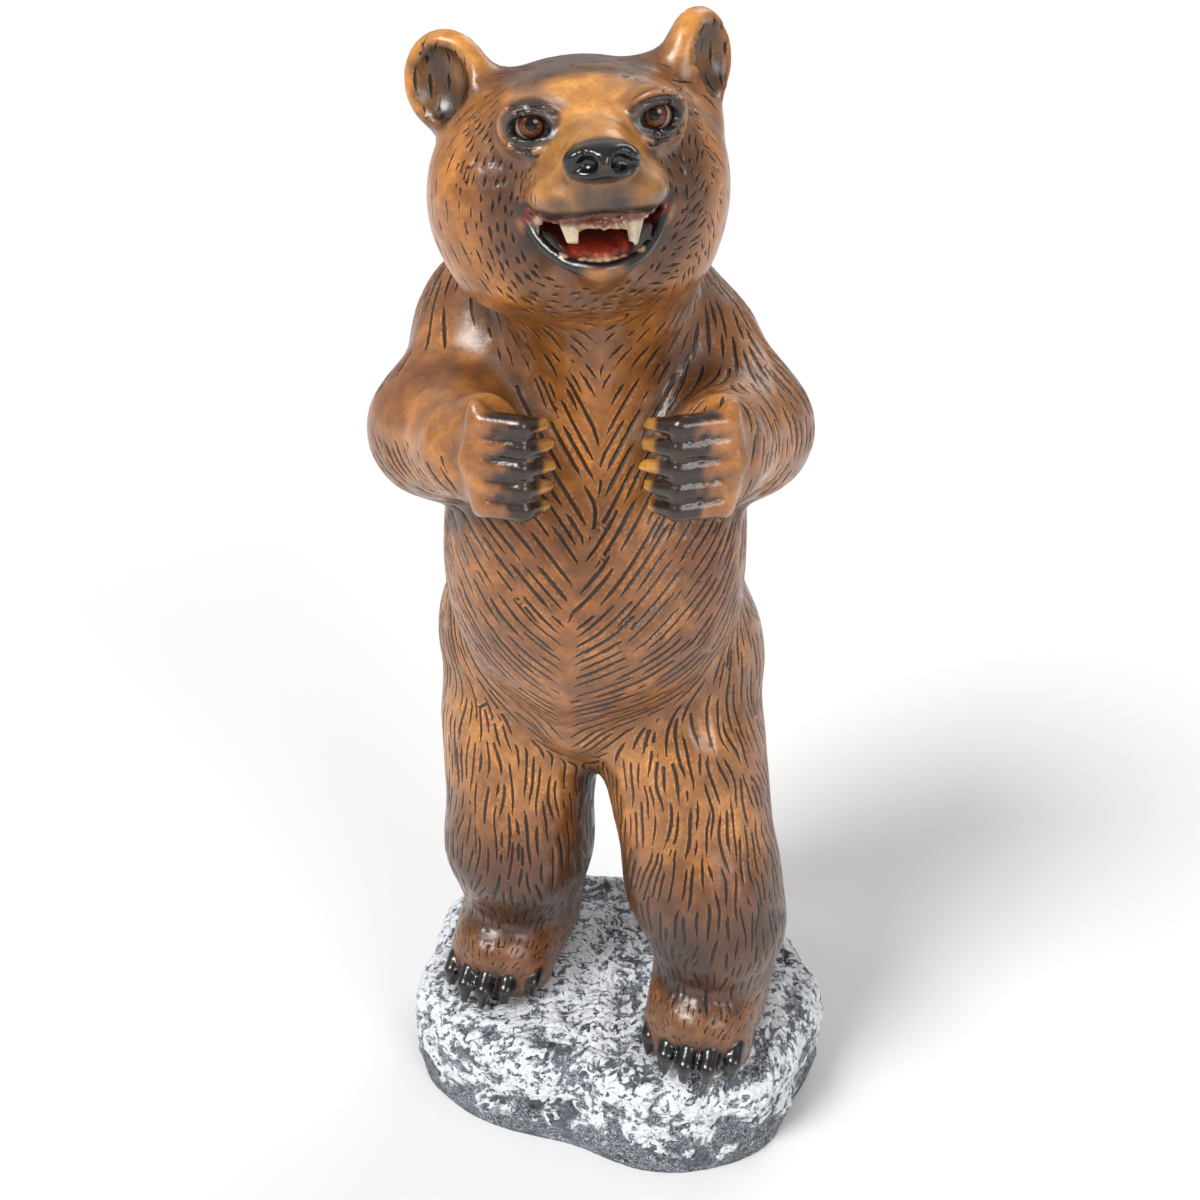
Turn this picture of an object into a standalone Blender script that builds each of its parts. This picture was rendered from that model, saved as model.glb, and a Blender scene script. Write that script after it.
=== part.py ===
"""A standing bear cast in aluminium, with two glass eyes, on a cast rock plinth.

The bear is sculpted from named masses of clay, such as ellipsoids for muscles and tapered bones for
limbs, that melt into each other. The figure is laid out on a grid of its own: its height, from its
soles to the tip of its left ear, is GRID_HEIGHT grid units. +X is the bear's left, -Y its front and
+Z up.
"""

import math

import bmesh
import bpy
import numpy as np
from mathutils import Matrix

# Driving dimensions, in metres
BEAR_HEIGHT = 1.365
PLINTH_HEIGHT = 0.17
PLINTH_RIGHT_MARGIN = 0.085
PLINTH_LEFT_MARGIN = 0.08
PLINTH_FRONT_MARGIN = 0.022
PLINTH_BACK_MARGIN = 0.14
PLINTH_EDGE_ROUNDING = 0.05
PLINTH_FOOT_INSET = 0.018
PLINTH_RELIEF_DEPTH = 0.014
EYE_RADIUS = 0.019
SEAT_GAP = 0.0003

# The figure's own grid
GRID_HEIGHT = 136.5
UNIT = BEAR_HEIGHT / GRID_HEIGHT

# Pose, in grid units and degrees
CHEST_TURN = 18.0
CHEST_ORIGIN = (-1.0, -0.3, 0.0)
BELLY_TURN = 8.0
HEAD_ORIGIN = (0.8, -8.1, 118.0)
HEAD_TURN = 24.5
HEAD_ROLL = -3.5
EYE_PLACES = {"eye_right": (-5.9, -11.2, 8.8), "eye_left": (6.5, -11.2, 8.8)}
RIGHT_FOOT = (-13.6, -1.8)
LEFT_FOOT = (18.4, -6.9)
FOOT_HALF_WIDTH = 8.0
TOE_REACH = 13.0
HEEL_REACH = 15.0
SEAT_RIM = 0.8
SEAT_SLOPE = 2.0

# Making of the solids
CLAY_CELL = 0.5
BEAR_TRIANGLES = 7200
PLINTH_SIDES = 56
EYE_SIDES = 20
FAR = 1e3


def turn_about(axis, degrees):
    return np.array(Matrix.Rotation(math.radians(degrees), 3, axis))


CHEST = turn_about("Z", CHEST_TURN)
HEAD = turn_about("Z", HEAD_TURN) @ turn_about("Y", HEAD_ROLL)


def in_chest(point):
    return CHEST @ np.array(point, float) + np.array(CHEST_ORIGIN)


def in_head(point):
    return HEAD @ np.array(point, float) + np.array(HEAD_ORIGIN)


def length(vectors):
    return np.sqrt((vectors * vectors).sum(axis=1))


class Ball:
    """An ellipsoid of clay."""

    def __init__(self, centre, radii, turn=None, blend=2.0, cuts=False):
        self.centre = np.array(centre, float)
        self.radii = np.array(radii, float)
        self.turn = np.eye(3) if turn is None else turn
        self.blend = blend
        self.cuts = cuts
        self.low = self.centre - self.radii.max()
        self.high = self.centre + self.radii.max()

    def distance(self, points):
        own = (points - self.centre) @ self.turn
        scaled = length(own / self.radii)
        slope = length(own / self.radii**2)
        return scaled * (scaled - 1.0) / np.maximum(slope, 1e-6)


class Bone:
    """A tapered round bar of clay between two points."""

    def __init__(self, start, end, start_radius, end_radius, blend=2.0, cuts=False):
        self.start = np.array(start, float)
        self.end = np.array(end, float)
        self.radii = (start_radius, end_radius)
        self.blend = blend
        self.cuts = cuts
        widest = max(self.radii)
        self.low = np.minimum(self.start, self.end) - widest
        self.high = np.maximum(self.start, self.end) + widest

    def distance(self, points):
        axis = self.end - self.start
        along = np.clip(((points - self.start) @ axis) / (axis @ axis), 0.0, 1.0)
        radius = self.radii[0] + (self.radii[1] - self.radii[0]) * along
        return length(points - self.start - along[:, None] * axis) - radius


def chain(points, radii, blend=2.0, cuts=False):
    """Bones end to end."""
    ends = zip(points, points[1:], radii, radii[1:])
    return [Bone(a, b, ra, rb, blend, cuts) for a, b, ra, rb in ends]


def melted(clay, form, blend, cuts):
    """The clay with a form melted onto it, or cut out of it, over a fillet about as wide as blend."""
    if cuts:
        form = -form
        mix = np.clip(0.5 - 0.5 * (form - clay) / blend, 0.0, 1.0)
        return form + (clay - form) * mix + blend * mix * (1.0 - mix)
    mix = np.clip(0.5 + 0.5 * (form - clay) / blend, 0.0, 1.0)
    return form + (clay - form) * mix - blend * mix * (1.0 - mix)


def torso():
    belly = turn_about("Z", BELLY_TURN)
    return [
        Ball((-1.7, 3.5, 56.5), (22.2, 15.0, 19.5), blend=4.0),
        Ball((-12.0, 6.5, 51.0), (12.2, 11.0, 16.5), blend=5.0),
        Ball((8.6, 6.5, 51.0), (12.0, 11.0, 16.0), blend=5.0),
        Ball((0.0, 6.5, 72.0), (15.5, 10.5, 22.0), blend=5.0),
        Ball((0.2, -3.2, 70.0), (19.4, 15.8, 21.5), belly, blend=2.0),
        Bone((0.2, -3.0, 63.0), (-0.6, -8.2, 49.0), 16.0, 3.6, blend=4.0),
        Ball((-0.5, 1.0, 82.0), (18.6, 15.8, 23.0), CHEST, blend=5.0),
        Ball((-1.0, 5.5, 97.0), (14.5, 11.5, 13.5), CHEST, blend=6.0),
        Ball(in_chest((-12.2, 5.5, 97.5)), (10.0, 9.5, 12.0), CHEST, blend=5.0),
        Ball(in_chest((9.2, 5.5, 97.0)), (8.4, 9.5, 10.5), CHEST, blend=5.0),
        Ball(in_chest((-1.0, 7.5, 104.0)), (13.0, 9.0, 11.0), CHEST, blend=5.0),
        Bone((-0.5, 0.5, 100.0), (0.4, -4.5, 112.0), 12.5, 12.5, blend=4.0),
        Ball((0.5, 17.5, 50.0), (3.2, 4.2, 4.6), blend=2.0),
    ]


def leg(hip, knee, shin, foot, side):
    """A leg and its foot. foot is the place of the foot's middle, and side is -1 for the right leg."""
    x, y = foot
    forms = chain([hip, knee, shin], [11.6, 10.3, 9.6], blend=3.0)
    forms.append(Bone(shin, (x, y + 3.0, 7.5), 8.9, 8.4, blend=2.6))
    for half in (-1, 1):
        edge = x + 2.4 * half
        forms.append(Bone((edge, y + 9.0, 4.2), (edge, y - 4.5, 3.7), 5.5, 5.4, blend=1.5))
    forms.append(Ball((x, y - 1.5, 7.2), (7.7, 9.2, 5.4), blend=2.0))
    for toe in range(5):
        across = (toe - 2) * 3.05
        toe_x = x + across
        toe_y = y - 8.4 + 0.09 * across**2 - 0.10 * side * across
        forms.append(Ball((toe_x, toe_y, 3.4), (1.8, 3.0, 3.1), blend=0.7))
        claw = [(toe_x, toe_y - 1.9, 4.9), (toe_x, toe_y - 3.5, 3.6), (toe_x, toe_y - 4.3, 1.1)]
        forms += chain(claw, [1.25, 1.3, 0.5], blend=0.3)
    return forms


def arm(side, shoulder, elbow, wrist, knuckles, reach):
    """An arm and its curled paw, in the chest's frame. side is -1 for the right arm, and reach is how
    far the digits curl across."""
    bones = (shoulder, elbow, wrist)
    forms = chain([in_chest(p) for p in bones], [8.9, 7.7, 6.0], blend=4.0)
    u, v, top = knuckles
    palm = [(u + side * 1.8, v + 4.2, top - 2.2), (u + side * 1.6, v + 4.2, top - 7.4)]
    forms += chain([in_chest(p) for p in palm], [3.8, 3.7], blend=2.0)
    for digit in range(5):
        z = top - 2.35 * digit
        fold = 0.35 * (digit - 1.8) ** 2
        root = (u + side * 1.4, v - 0.3, z)
        middle = (u - side * 0.45 * reach, v - 1.3, z - 0.2)
        tip = (u - side * (reach - 0.5 * fold), v + 0.8, z - 0.5)
        forms += chain([in_chest(p) for p in (root, middle, tip)], [1.35, 1.3, 0.6], blend=0.3)
    cuff = [(u + side * 2.4, v + 0.6, top + 1.4), (u + side * 3.1, v - 0.3, top - 4.2)]
    cuff.append((u + side * 2.2, v + 0.6, top - 10.2))
    forms += chain([in_chest(p) for p in cuff], [0.9, 1.1, 0.9], blend=1.2)
    return forms


def both(point, side):
    """A point of the right half of the head, or its mirror image on the left half."""
    return in_head((side * point[0], point[1], point[2]))


def head():
    forms = [
        Ball(in_head((0, 2.0, 2.0)), (15.3, 14.0, 11.8), HEAD, blend=4.0),
        Ball(in_head((0, -5.5, 7.8)), (10.0, 6.0, 5.0), HEAD, blend=3.0),
        Ball(in_head((-0.6, -1.6, -7.2)), (13.4, 10.8, 6.6), HEAD, blend=1.5),
    ]
    for side, out, wide in ((-1, 8.3, 9.0), (1, 7.2, 8.6)):
        forms.append(Ball(both((out, -0.5, -0.8), side), (wide, 10.5, 10.6), HEAD, blend=3.0))
    forms += [
        Bone(in_head((8.0, 2.0, 3.0)), in_head((11.8, 2.5, 6.2)), 5.0, 4.2, blend=2.0),
        Bone(in_head((0, -7.5, 3.4)), in_head((0, -17.0, 5.2)), 7.6, 3.9, blend=2.5),
        Bone(in_head((0, -7.0, -4.0)), in_head((0, -14.6, -4.6)), 6.2, 2.7, blend=1.5),
    ]
    for side in (-1, 1):
        forms.append(Ball(both((3.2, -14.2, 2.6), side), (4.0, 5.8, 2.6), HEAD, blend=2.5))
    forms += nose() + mouth()
    for side, facing, lift in ((-1, 30.0, -0.2), (1, 50.0, 0.2)):
        forms += eyelids(side)
        forms += ear(side, facing, lift)
    return forms


def nose():
    forms = [
        Ball(in_head((0, -20.2, 6.5)), (3.7, 2.6, 1.6), HEAD, blend=0.8),
        Ball(in_head((0, -20.6, 5.6)), (3.5, 2.3, 1.6), HEAD, blend=0.8),
    ]
    for side in (-1, 1):
        forms.append(Ball(both((1.9, -22.7, 5.7), side), (1.05, 1.5, 0.75), HEAD, blend=0.3, cuts=True))
    return forms


def mouth():
    forms = [
        Ball(in_head((0, -15.2, -1.5)), (5.2, 6.6, 3.0), HEAD, blend=0.8, cuts=True),
        Ball(in_head((0, -11.5, -0.2)), (7.4, 3.6, 1.9), HEAD, blend=0.8, cuts=True),
        Ball(in_head((0, -10.5, -3.7)), (3.2, 5.6, 1.6), HEAD, blend=0.6),
    ]
    lower_lip = [(7.5, -10.6, 0.8), (5.8, -13.6, -2.2), (3.2, -16.2, -4.3), (0, -17.0, -4.9)]
    for side in (-1, 1):
        forms += chain([both(p, side) for p in lower_lip], [0.5, 0.6, 0.65, 0.65], blend=0.5)
        fang = [(3.2, -17.0, 1.4), (3.0, -17.4, -2.0)]
        gum = [(2.6, -17.6, 0.8), (0.0, -18.4, 0.7)]
        forms += chain([both(p, side) for p in fang], [1.1, 0.45], blend=0.3)
        forms += chain([both(p, side) for p in gum], [0.7, 0.7], blend=0.4)
    return forms


def eyelids(side):
    eye = np.array(EYE_PLACES["eye_left" if side > 0 else "eye_right"])
    turn = HEAD @ turn_about("Z", side * 12.0)
    lids = in_head(eye + (0, 0.3, 0))
    opening = lids + turn @ np.array((0, -3.1, 0))
    return [
        Ball(lids, (3.4, 2.7, 2.9), turn, blend=2.2),
        Ball(opening, (2.3, 1.8, 1.6), turn, blend=0.3, cuts=True),
    ]


def ear(side, facing, lift):
    """A round ear, hollow in front. facing is how far it turns outwards, in degrees."""
    turn = HEAD @ turn_about("Z", side * facing)
    centre = both((13.6, 3.0, 12.0 + lift), side)
    hollow = centre + turn @ np.array((0, -2.6, 0.2))
    root = both((9.5, 2.0, 8.0 + lift), side)
    inner = both((7.5, 1.5, 10.2 + lift), side)
    return [
        Bone(inner, centre, 2.2, 2.4, blend=2.5),
        Bone(root, centre, 4.0, 2.6, blend=3.0),
        Ball(centre, (5.2, 3.0, 5.4), turn, blend=1.5),
        Ball(hollow, (3.7, 2.9, 4.0), turn, blend=0.6, cuts=True),
    ]


def bear_clay():
    """Every mass of the bear, in the order in which it is laid on."""
    forms = torso()
    forms += leg((-12.2, 1.5, 43.0), (-11.6, -2.5, 24.0), (-12.2, -0.5, 19.0), RIGHT_FOOT, -1)
    forms += leg((11.6, 1.0, 43.0), (16.6, -4.5, 25.0), (18.8, -5.2, 19.0), LEFT_FOOT, 1)
    right = [(-12.6, 1.0, 96.0), (-18.4, -5.5, 89.5), (-13.6, -17.5, 91.6), (-9.8, -25.0, 97.2)]
    left = [(12.6, 1.0, 96.0), (18.3, -5.5, 89.5), (14.6, -17.5, 91.6), (12.6, -25.0, 97.2)]
    forms += arm(-1, *right, 5.7)
    forms += arm(1, *left, 7.0)
    forms += head()
    return forms


def distance_grid(forms, low, shape, cell):
    """The distance to the clay's surface on a grid of points."""
    grid = np.full(shape, FAR)
    for form in forms:
        reach = form.blend + 2.0 * cell
        first = np.clip(np.floor((form.low - reach - low) / cell).astype(int), 0, shape)
        last = np.clip(np.ceil((form.high + reach - low) / cell).astype(int) + 1, 0, shape)
        window = tuple(slice(a, b) for a, b in zip(first, last))
        if min(last - first) < 1:
            continue
        axes = [low[i] + cell * np.arange(first[i], last[i]) for i in range(3)]
        points = np.stack(np.meshgrid(*axes, indexing="ij"), axis=-1).reshape(-1, 3)
        near = form.distance(points).reshape(grid[window].shape)
        grid[window] = melted(grid[window], near, form.blend, form.cuts)
    return grid


def without_pinches(grid, cell):
    """Fills the points where two parts of the surface would meet only along an edge or at a corner."""
    grid = grid.copy()

    def part_of(values, offset, size):
        return values[tuple(slice(o, n - s + 1 + o) for o, n, s in zip(offset, values.shape, size))]

    def corners_of(size):
        return [(i, j, k) for i in range(size[0]) for j in range(size[1]) for k in range(size[2])]

    while True:
        solid = grid < 0
        pinch = np.zeros_like(solid)
        for size in ((2, 2, 1), (2, 1, 2), (1, 2, 2), (2, 2, 2)):
            corners = corners_of(size)
            count = sum(part_of(solid, c, size).astype(np.int8) for c in corners)
            for near in corners:
                far = tuple(n - 1 - c for n, c in zip(size, near))
                here = part_of(solid, near, size)
                there = part_of(solid, far, size)
                across = here & there & (count == 2)
                across |= ~here & ~there & (count == len(corners) - 2)
                for c in corners:
                    part_of(pinch, c, size)[...] |= across
        fill = pinch & ~solid
        if not fill.any():
            return grid
        grid[fill] = -0.05 * cell


def surface_net(grid, low, cell):
    """A point in each cell that the surface crosses, and a quad across each grid edge that it crosses."""
    inside = grid < 0
    cells = np.array(grid.shape) - 1
    corners = [(i, j, k) for i in (0, 1) for j in (0, 1) for k in (0, 1)]

    def corner(values, offset):
        return values[tuple(slice(o, o + n) for o, n in zip(offset, cells))]

    count = sum(corner(inside, c).astype(np.int8) for c in corners)
    crossed = np.argwhere((count > 0) & (count < 8))
    total = np.zeros((len(crossed), 3))
    crossings = np.zeros(len(crossed))
    for axis in range(3):
        for start in (c for c in corners if c[axis] == 0):
            end = np.array(start)
            end[axis] = 1
            here = grid[tuple((crossed + start).T)]
            there = grid[tuple((crossed + end).T)]
            cut = (here < 0) != (there < 0)
            share = here[cut] / (here[cut] - there[cut])
            at = np.tile(np.array(start, float), (cut.sum(), 1))
            at[:, axis] = share
            total[cut] += at
            crossings[cut] += 1
    points = low + cell * (crossed + total / crossings[:, None])
    index = np.full(cells, -1)
    index[tuple(crossed.T)] = np.arange(len(crossed))
    quads = []
    for axis in range(3):
        ahead = np.roll(np.arange(3), -axis)
        step = np.eye(3, dtype=int)[ahead]
        inner = [slice(1, n) for n in cells]
        inner[axis] = slice(0, cells[axis])
        here = inside[tuple(inner)]
        beyond = [slice(s.start + (a == axis), s.stop + (a == axis)) for a, s in enumerate(inner)]
        change = np.argwhere(here != inside[tuple(beyond)])
        change += [s.start for s in inner]
        ring = [change - step[1] - step[2], change - step[2], change, change - step[1]]
        quad = np.stack([index[tuple(r.T)] for r in ring], axis=1)
        out = inside[tuple(change.T)]
        quads.append(np.where(out[:, None], quad, quad[:, ::-1]))
    return points, np.concatenate(quads)


def sculpted(name, forms, low, high, cell):
    low = np.array(low, float)
    shape = tuple(np.ceil((np.array(high) - low) / cell).astype(int) + 1)
    grid = without_pinches(distance_grid(forms, low, shape, cell), cell)
    points, quads = surface_net(grid, low, cell)
    mesh = bpy.data.meshes.new(name)
    mesh.from_pydata(points.tolist(), [], quads.tolist())
    mesh.update()
    return mesh


def material(name, colour, roughness, metallic=0.0):
    made = bpy.data.materials.new(name)
    made.use_nodes = True
    shader = made.node_tree.nodes["Principled BSDF"]
    shader.inputs["Base Color"].default_value = (*colour, 1.0)
    shader.inputs["Roughness"].default_value = roughness
    shader.inputs["Metallic"].default_value = metallic
    made.diffuse_color = (*colour, 1.0)
    return made


def placed(name, mesh, finish):
    made = bpy.data.objects.new(name, mesh)
    mesh.materials.append(finish)
    bpy.context.scene.collection.objects.link(made)
    return made


def evaluated_mesh(made):
    """The object's mesh with its modifiers applied, as a new mesh."""
    bpy.context.view_layer.update()
    graph = bpy.context.evaluated_depsgraph_get()
    return bpy.data.meshes.new_from_object(made.evaluated_get(graph))


def cut_flat_soles(mesh):
    """Cuts off what is below the soles, and closes each foot with a flat face."""
    form = bmesh.new()
    form.from_mesh(mesh)
    everything = form.verts[:] + form.edges[:] + form.faces[:]
    plane = {"plane_co": (0, 0, 0), "plane_no": (0, 0, 1), "dist": 1e-5}
    bmesh.ops.bisect_plane(form, geom=everything, clear_inner=True, **plane)
    bmesh.ops.holes_fill(form, edges=[e for e in form.edges if e.is_boundary], sides=0)
    bmesh.ops.recalc_face_normals(form, faces=form.faces)
    form.to_mesh(mesh)
    form.free()


def clay_box(forms):
    """The lowest and the highest corner of the clay that is laid on."""
    laid = [form for form in forms if not form.cuts]
    return np.min([form.low for form in laid], axis=0), np.max([form.high for form in laid], axis=0)


def make_bear(finish):
    forms = bear_clay()
    low, high = clay_box(forms)
    low[2] = max(low[2], -4.0 * CLAY_CELL)
    mesh = sculpted("bear", forms, low - 2.0 * CLAY_CELL, high + 2.0 * CLAY_CELL, CLAY_CELL)
    bear = placed("bear", mesh, finish)
    thinning = bear.modifiers.new("Fewer triangles", "DECIMATE")
    thinning.ratio = BEAR_TRIANGLES / (2 * len(mesh.polygons))
    bear.data = evaluated_mesh(bear)
    bear.modifiers.clear()
    cut_flat_soles(bear.data)
    bear.data.transform(Matrix.Scale(UNIT, 4))
    bear.data.shade_smooth()
    bear.data.set_sharp_from_angle(angle=math.radians(50))
    bear.location = figure_place()
    return bear


def plinth_box():
    """The plinth's extent round the feet, in metres from the figure's own origin."""
    feet = np.array([RIGHT_FOOT, LEFT_FOOT]) * UNIT
    side = FOOT_HALF_WIDTH * UNIT
    front = TOE_REACH * UNIT + PLINTH_FRONT_MARGIN
    back = HEEL_REACH * UNIT + PLINTH_BACK_MARGIN
    low = feet.min(axis=0) - (side + PLINTH_RIGHT_MARGIN, front)
    high = feet.max(axis=0) + (side + PLINTH_LEFT_MARGIN, back)
    return low, high


def figure_place():
    """Where the figure's own origin stands, with the plinth's middle at the part's origin."""
    low, high = plinth_box()
    middle = (low + high) / 2
    return (-middle[0], -middle[1], PLINTH_HEIGHT + SEAT_GAP)


def plinth_outline():
    """The plinth's plan, a rounded block with broken corners, as points round the part's origin."""
    low, high = plinth_box()
    half = (high - low) / 2
    angles = np.linspace(0.0, 2 * math.pi, PLINTH_SIDES, endpoint=False)
    across, along = np.cos(angles), np.sin(angles)
    squareness = 2.75
    reach = (np.abs(across) ** squareness + np.abs(along) ** squareness) ** (-1 / squareness)
    reach *= 1 + 0.008 * np.sin(2 * angles + 2.6) + 0.022 * np.sin(5 * angles + 0.7)
    reach *= 1 + 0.012 * np.sin(9 * angles)
    plan = np.stack([reach * across, reach * along], axis=1)
    plan = 2 * (plan - plan.min(axis=0)) / (plan.max(axis=0) - plan.min(axis=0)) - 1
    return plan * half


def rock_relief(x, y, z):
    """Hollows of the rock, from 0 to 1."""
    wave = np.sin(31 * x + 2 * np.sin(17 * y)) * np.sin(27 * y + 1.5 * np.sin(23 * z + 19 * x))
    chips = np.sin(58 * x - 41 * y + 47 * z) * np.sin(49 * y + 37 * x + 29 * z)
    return np.clip(0.5 + 0.35 * wave + 0.25 * chips, 0, 1)


def off_the_seats(x, y):
    """0 where a foot stands on the rock, and 1 clear of the feet."""
    place = figure_place()
    clear = np.ones_like(x)
    for foot_x, foot_y in (RIGHT_FOOT, LEFT_FOOT):
        side = np.abs(x - place[0] - foot_x * UNIT) - (FOOT_HALF_WIDTH + SEAT_RIM) * UNIT
        front = (foot_y - TOE_REACH - SEAT_RIM) * UNIT - (y - place[1])
        back = (y - place[1]) - (foot_y + HEEL_REACH + SEAT_RIM) * UNIT
        outside = np.maximum(side, np.maximum(front, back))
        clear = np.minimum(clear, np.clip(outside / (SEAT_SLOPE * UNIT), 0, 1))
    return clear


def plinth_rings():
    """The plinth's surface from the rim of its underside, up its side and over its top, ring by ring."""
    plan = plinth_outline()
    reach = np.linalg.norm(plan, axis=1)
    outward = plan / reach[:, None]
    rings = [(PLINTH_FOOT_INSET, 0.0), (0.3 * PLINTH_FOOT_INSET, 0.22 * PLINTH_HEIGHT)]
    rounding = min(PLINTH_EDGE_ROUNDING, 0.8 * PLINTH_HEIGHT)
    for angle in np.radians((0, 25, 50, 72)):
        drop = rounding * (1 - math.sin(angle))
        rings.append((rounding * (1 - math.cos(angle)), PLINTH_HEIGHT - drop))
    made = []
    for inset, z in rings:
        depth = PLINTH_RELIEF_DEPTH * rock_relief(plan[:, 0], plan[:, 1], z) * min(1.0, z / rounding)
        made.append(np.column_stack([plan - outward * (inset + depth)[:, None], np.full(len(plan), z)]))
    rim = made[-1][:, :2]
    made.pop()
    for share in (1.0, 0.88, 0.76, 0.64, 0.52, 0.4, 0.28, 0.15):
        x, y = (rim * share).T
        sink = PLINTH_RELIEF_DEPTH * rock_relief(x, y, PLINTH_HEIGHT) * off_the_seats(x, y)
        made.append(np.column_stack([x, y, PLINTH_HEIGHT - sink]))
    return made


def make_plinth(finish):
    form = bmesh.new()
    loops = [[form.verts.new(point) for point in ring] for ring in plinth_rings()]
    for lower, upper in zip(loops, loops[1:]):
        for i in range(PLINTH_SIDES):
            j = (i + 1) % PLINTH_SIDES
            form.faces.new((lower[i], lower[j], upper[j], upper[i]))
    form.faces.new(loops[-1])
    form.faces.new(loops[0][::-1])
    mesh = bpy.data.meshes.new("rock_plinth")
    form.to_mesh(mesh)
    form.free()
    mesh.shade_smooth()
    mesh.set_sharp_from_angle(angle=math.radians(35))
    return placed("rock_plinth", mesh, finish)


def ball_mesh(name, radius):
    form = bmesh.new()
    bmesh.ops.create_uvsphere(form, u_segments=EYE_SIDES, v_segments=EYE_SIDES // 2, radius=radius)
    mesh = bpy.data.meshes.new(name)
    form.to_mesh(mesh)
    form.free()
    mesh.shade_smooth()
    return mesh


def set_eye(name, place, bear, finish):
    """A glass eye, and its socket in the bear."""
    centre = in_head(place) * UNIT + np.array(figure_place())
    eye = placed(name, ball_mesh(name, EYE_RADIUS), finish)
    cutter = placed(name + "_socket", ball_mesh(name + "_socket", EYE_RADIUS + SEAT_GAP), finish)
    for ball in (eye, cutter):
        ball.location = centre
    cutter.hide_render = True
    cutter.display_type = "WIRE"
    socket = bear.modifiers.new("Socket of " + name, "BOOLEAN")
    socket.operation = "DIFFERENCE"
    socket.object = cutter


def clear_scene():
    for old in list(bpy.data.objects):
        bpy.data.objects.remove(old)


def main():
    clear_scene()
    paint = material("painted_fur", (0.30, 0.13, 0.05), 0.42)
    rock = material("painted_rock", (0.45, 0.46, 0.48), 0.7)
    glass = material("glass_eye", (0.12, 0.04, 0.015), 0.08)
    bear = make_bear(paint)
    make_plinth(rock)
    for name, place in EYE_PLACES.items():
        set_eye(name, place, bear, glass)


main()
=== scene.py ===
"""The looks of the cast bear: its fur strokes, mouth, paint and varnish, its glass eyes and its rock.

The bear's surface is sculpted from the same masses of clay as its solid, then finer: the strokes of
the fur are combed over it along a flow, pressed into its mesh and painted. Figure grid: one unit is
a hundredth of a metre, its origin is between the feet, -Y is the front.
"""

import math
import random

import bmesh
import bpy
import numpy as np
from mathutils import Matrix, Vector, noise
from mathutils.bvhtree import BVHTree
from mathutils.kdtree import KDTree


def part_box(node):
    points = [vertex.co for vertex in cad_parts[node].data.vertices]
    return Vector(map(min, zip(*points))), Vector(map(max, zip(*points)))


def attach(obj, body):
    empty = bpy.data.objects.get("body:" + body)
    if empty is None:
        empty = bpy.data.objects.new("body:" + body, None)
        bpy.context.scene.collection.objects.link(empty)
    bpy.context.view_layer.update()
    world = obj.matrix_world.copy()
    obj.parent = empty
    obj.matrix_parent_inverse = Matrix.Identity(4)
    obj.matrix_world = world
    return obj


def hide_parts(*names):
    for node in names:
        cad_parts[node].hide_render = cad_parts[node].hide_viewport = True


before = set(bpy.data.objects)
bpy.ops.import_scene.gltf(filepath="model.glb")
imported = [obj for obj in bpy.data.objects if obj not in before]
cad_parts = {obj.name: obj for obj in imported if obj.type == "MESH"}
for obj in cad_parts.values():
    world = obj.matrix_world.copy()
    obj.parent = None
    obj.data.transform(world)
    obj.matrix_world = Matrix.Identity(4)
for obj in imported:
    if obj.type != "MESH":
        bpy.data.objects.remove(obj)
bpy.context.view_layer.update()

# The same driving dimensions as the solids, in metres
BEAR_HEIGHT = 1.365
PLINTH_HEIGHT = 0.17
PLINTH_RIGHT_MARGIN = 0.085
PLINTH_LEFT_MARGIN = 0.08
PLINTH_FRONT_MARGIN = 0.022
PLINTH_BACK_MARGIN = 0.14
PLINTH_EDGE_ROUNDING = 0.05
PLINTH_FOOT_INSET = 0.018
PLINTH_RELIEF_DEPTH = 0.014
EYE_RADIUS = 0.019
SEAT_GAP = 0.0003
GRID_HEIGHT = 136.5
BOX_MARGIN = 0.0003
UNIT = BEAR_HEIGHT / GRID_HEIGHT
CHEST_TURN = 18.0
CHEST_ORIGIN = (-1.0, -0.3, 0.0)
BELLY_TURN = 8.0
HEAD_ORIGIN = (0.8, -8.1, 118.0)
HEAD_TURN = 24.5
HEAD_ROLL = -3.5
EYE_PLACES = {"eye_right": (-5.9, -11.2, 8.8), "eye_left": (6.5, -11.2, 8.8)}
RIGHT_FOOT = (-13.6, -1.8)
LEFT_FOOT = (18.4, -6.9)
FOOT_HALF_WIDTH = 8.0
TOE_REACH = 13.0
HEEL_REACH = 15.0
SEAT_RIM = 0.8
SEAT_SLOPE = 2.0
FAR = 1e3
DIGIT_PITCH = 2.35
RIGHT_REACH = 5.7
LEFT_REACH = 7.0
DOWN = np.array((0.0, 0.0, -1.0))
SIDES = (-1, 1)

# Sizes of the finer mesh and of the fur, in grid units
CLAY_CELL = 0.92
FACE_EDGE = 0.46
MOUTH_EDGE = 0.26
LID_EDGE = 0.16
PAW_EDGE = 0.5
STROKE_STEP = 0.4
SAMPLE_STEP = 0.18
STROKE_DEPTH = 0.2
GROOVE_SPREAD = 0.26
LONGEST_EDGE = 1.4
BUCKET = 1.6

# The rock's finer relief, in metres, and the rings of its mesh
ROCK_SIDES = 420
ROCK_RELIEF = 0.008
SKIRT_SHARE = 0.22
SKIRT_RINGS = 8
WALL_RINGS = 19
EDGE_RINGS = 15
TOP_RINGS = 60

# The glass eyes: where pupil and iris end, in degrees from the gaze
PUPIL_ANGLE = 18.0
IRIS_ANGLE = 42.5

# The camera of the photo: it stands to the bear's left, at eye height, and looks down
CAMERA_TURN = math.radians(18.0)
CAMERA_REACH = 1.62
CAMERA_HEIGHT = 1.62
CAMERA_PITCH = math.radians(26.7)
FOCAL_SHARE = 1360.0 / 1200
SENSOR_WIDTH = 36

dice = random.Random(7)


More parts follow.
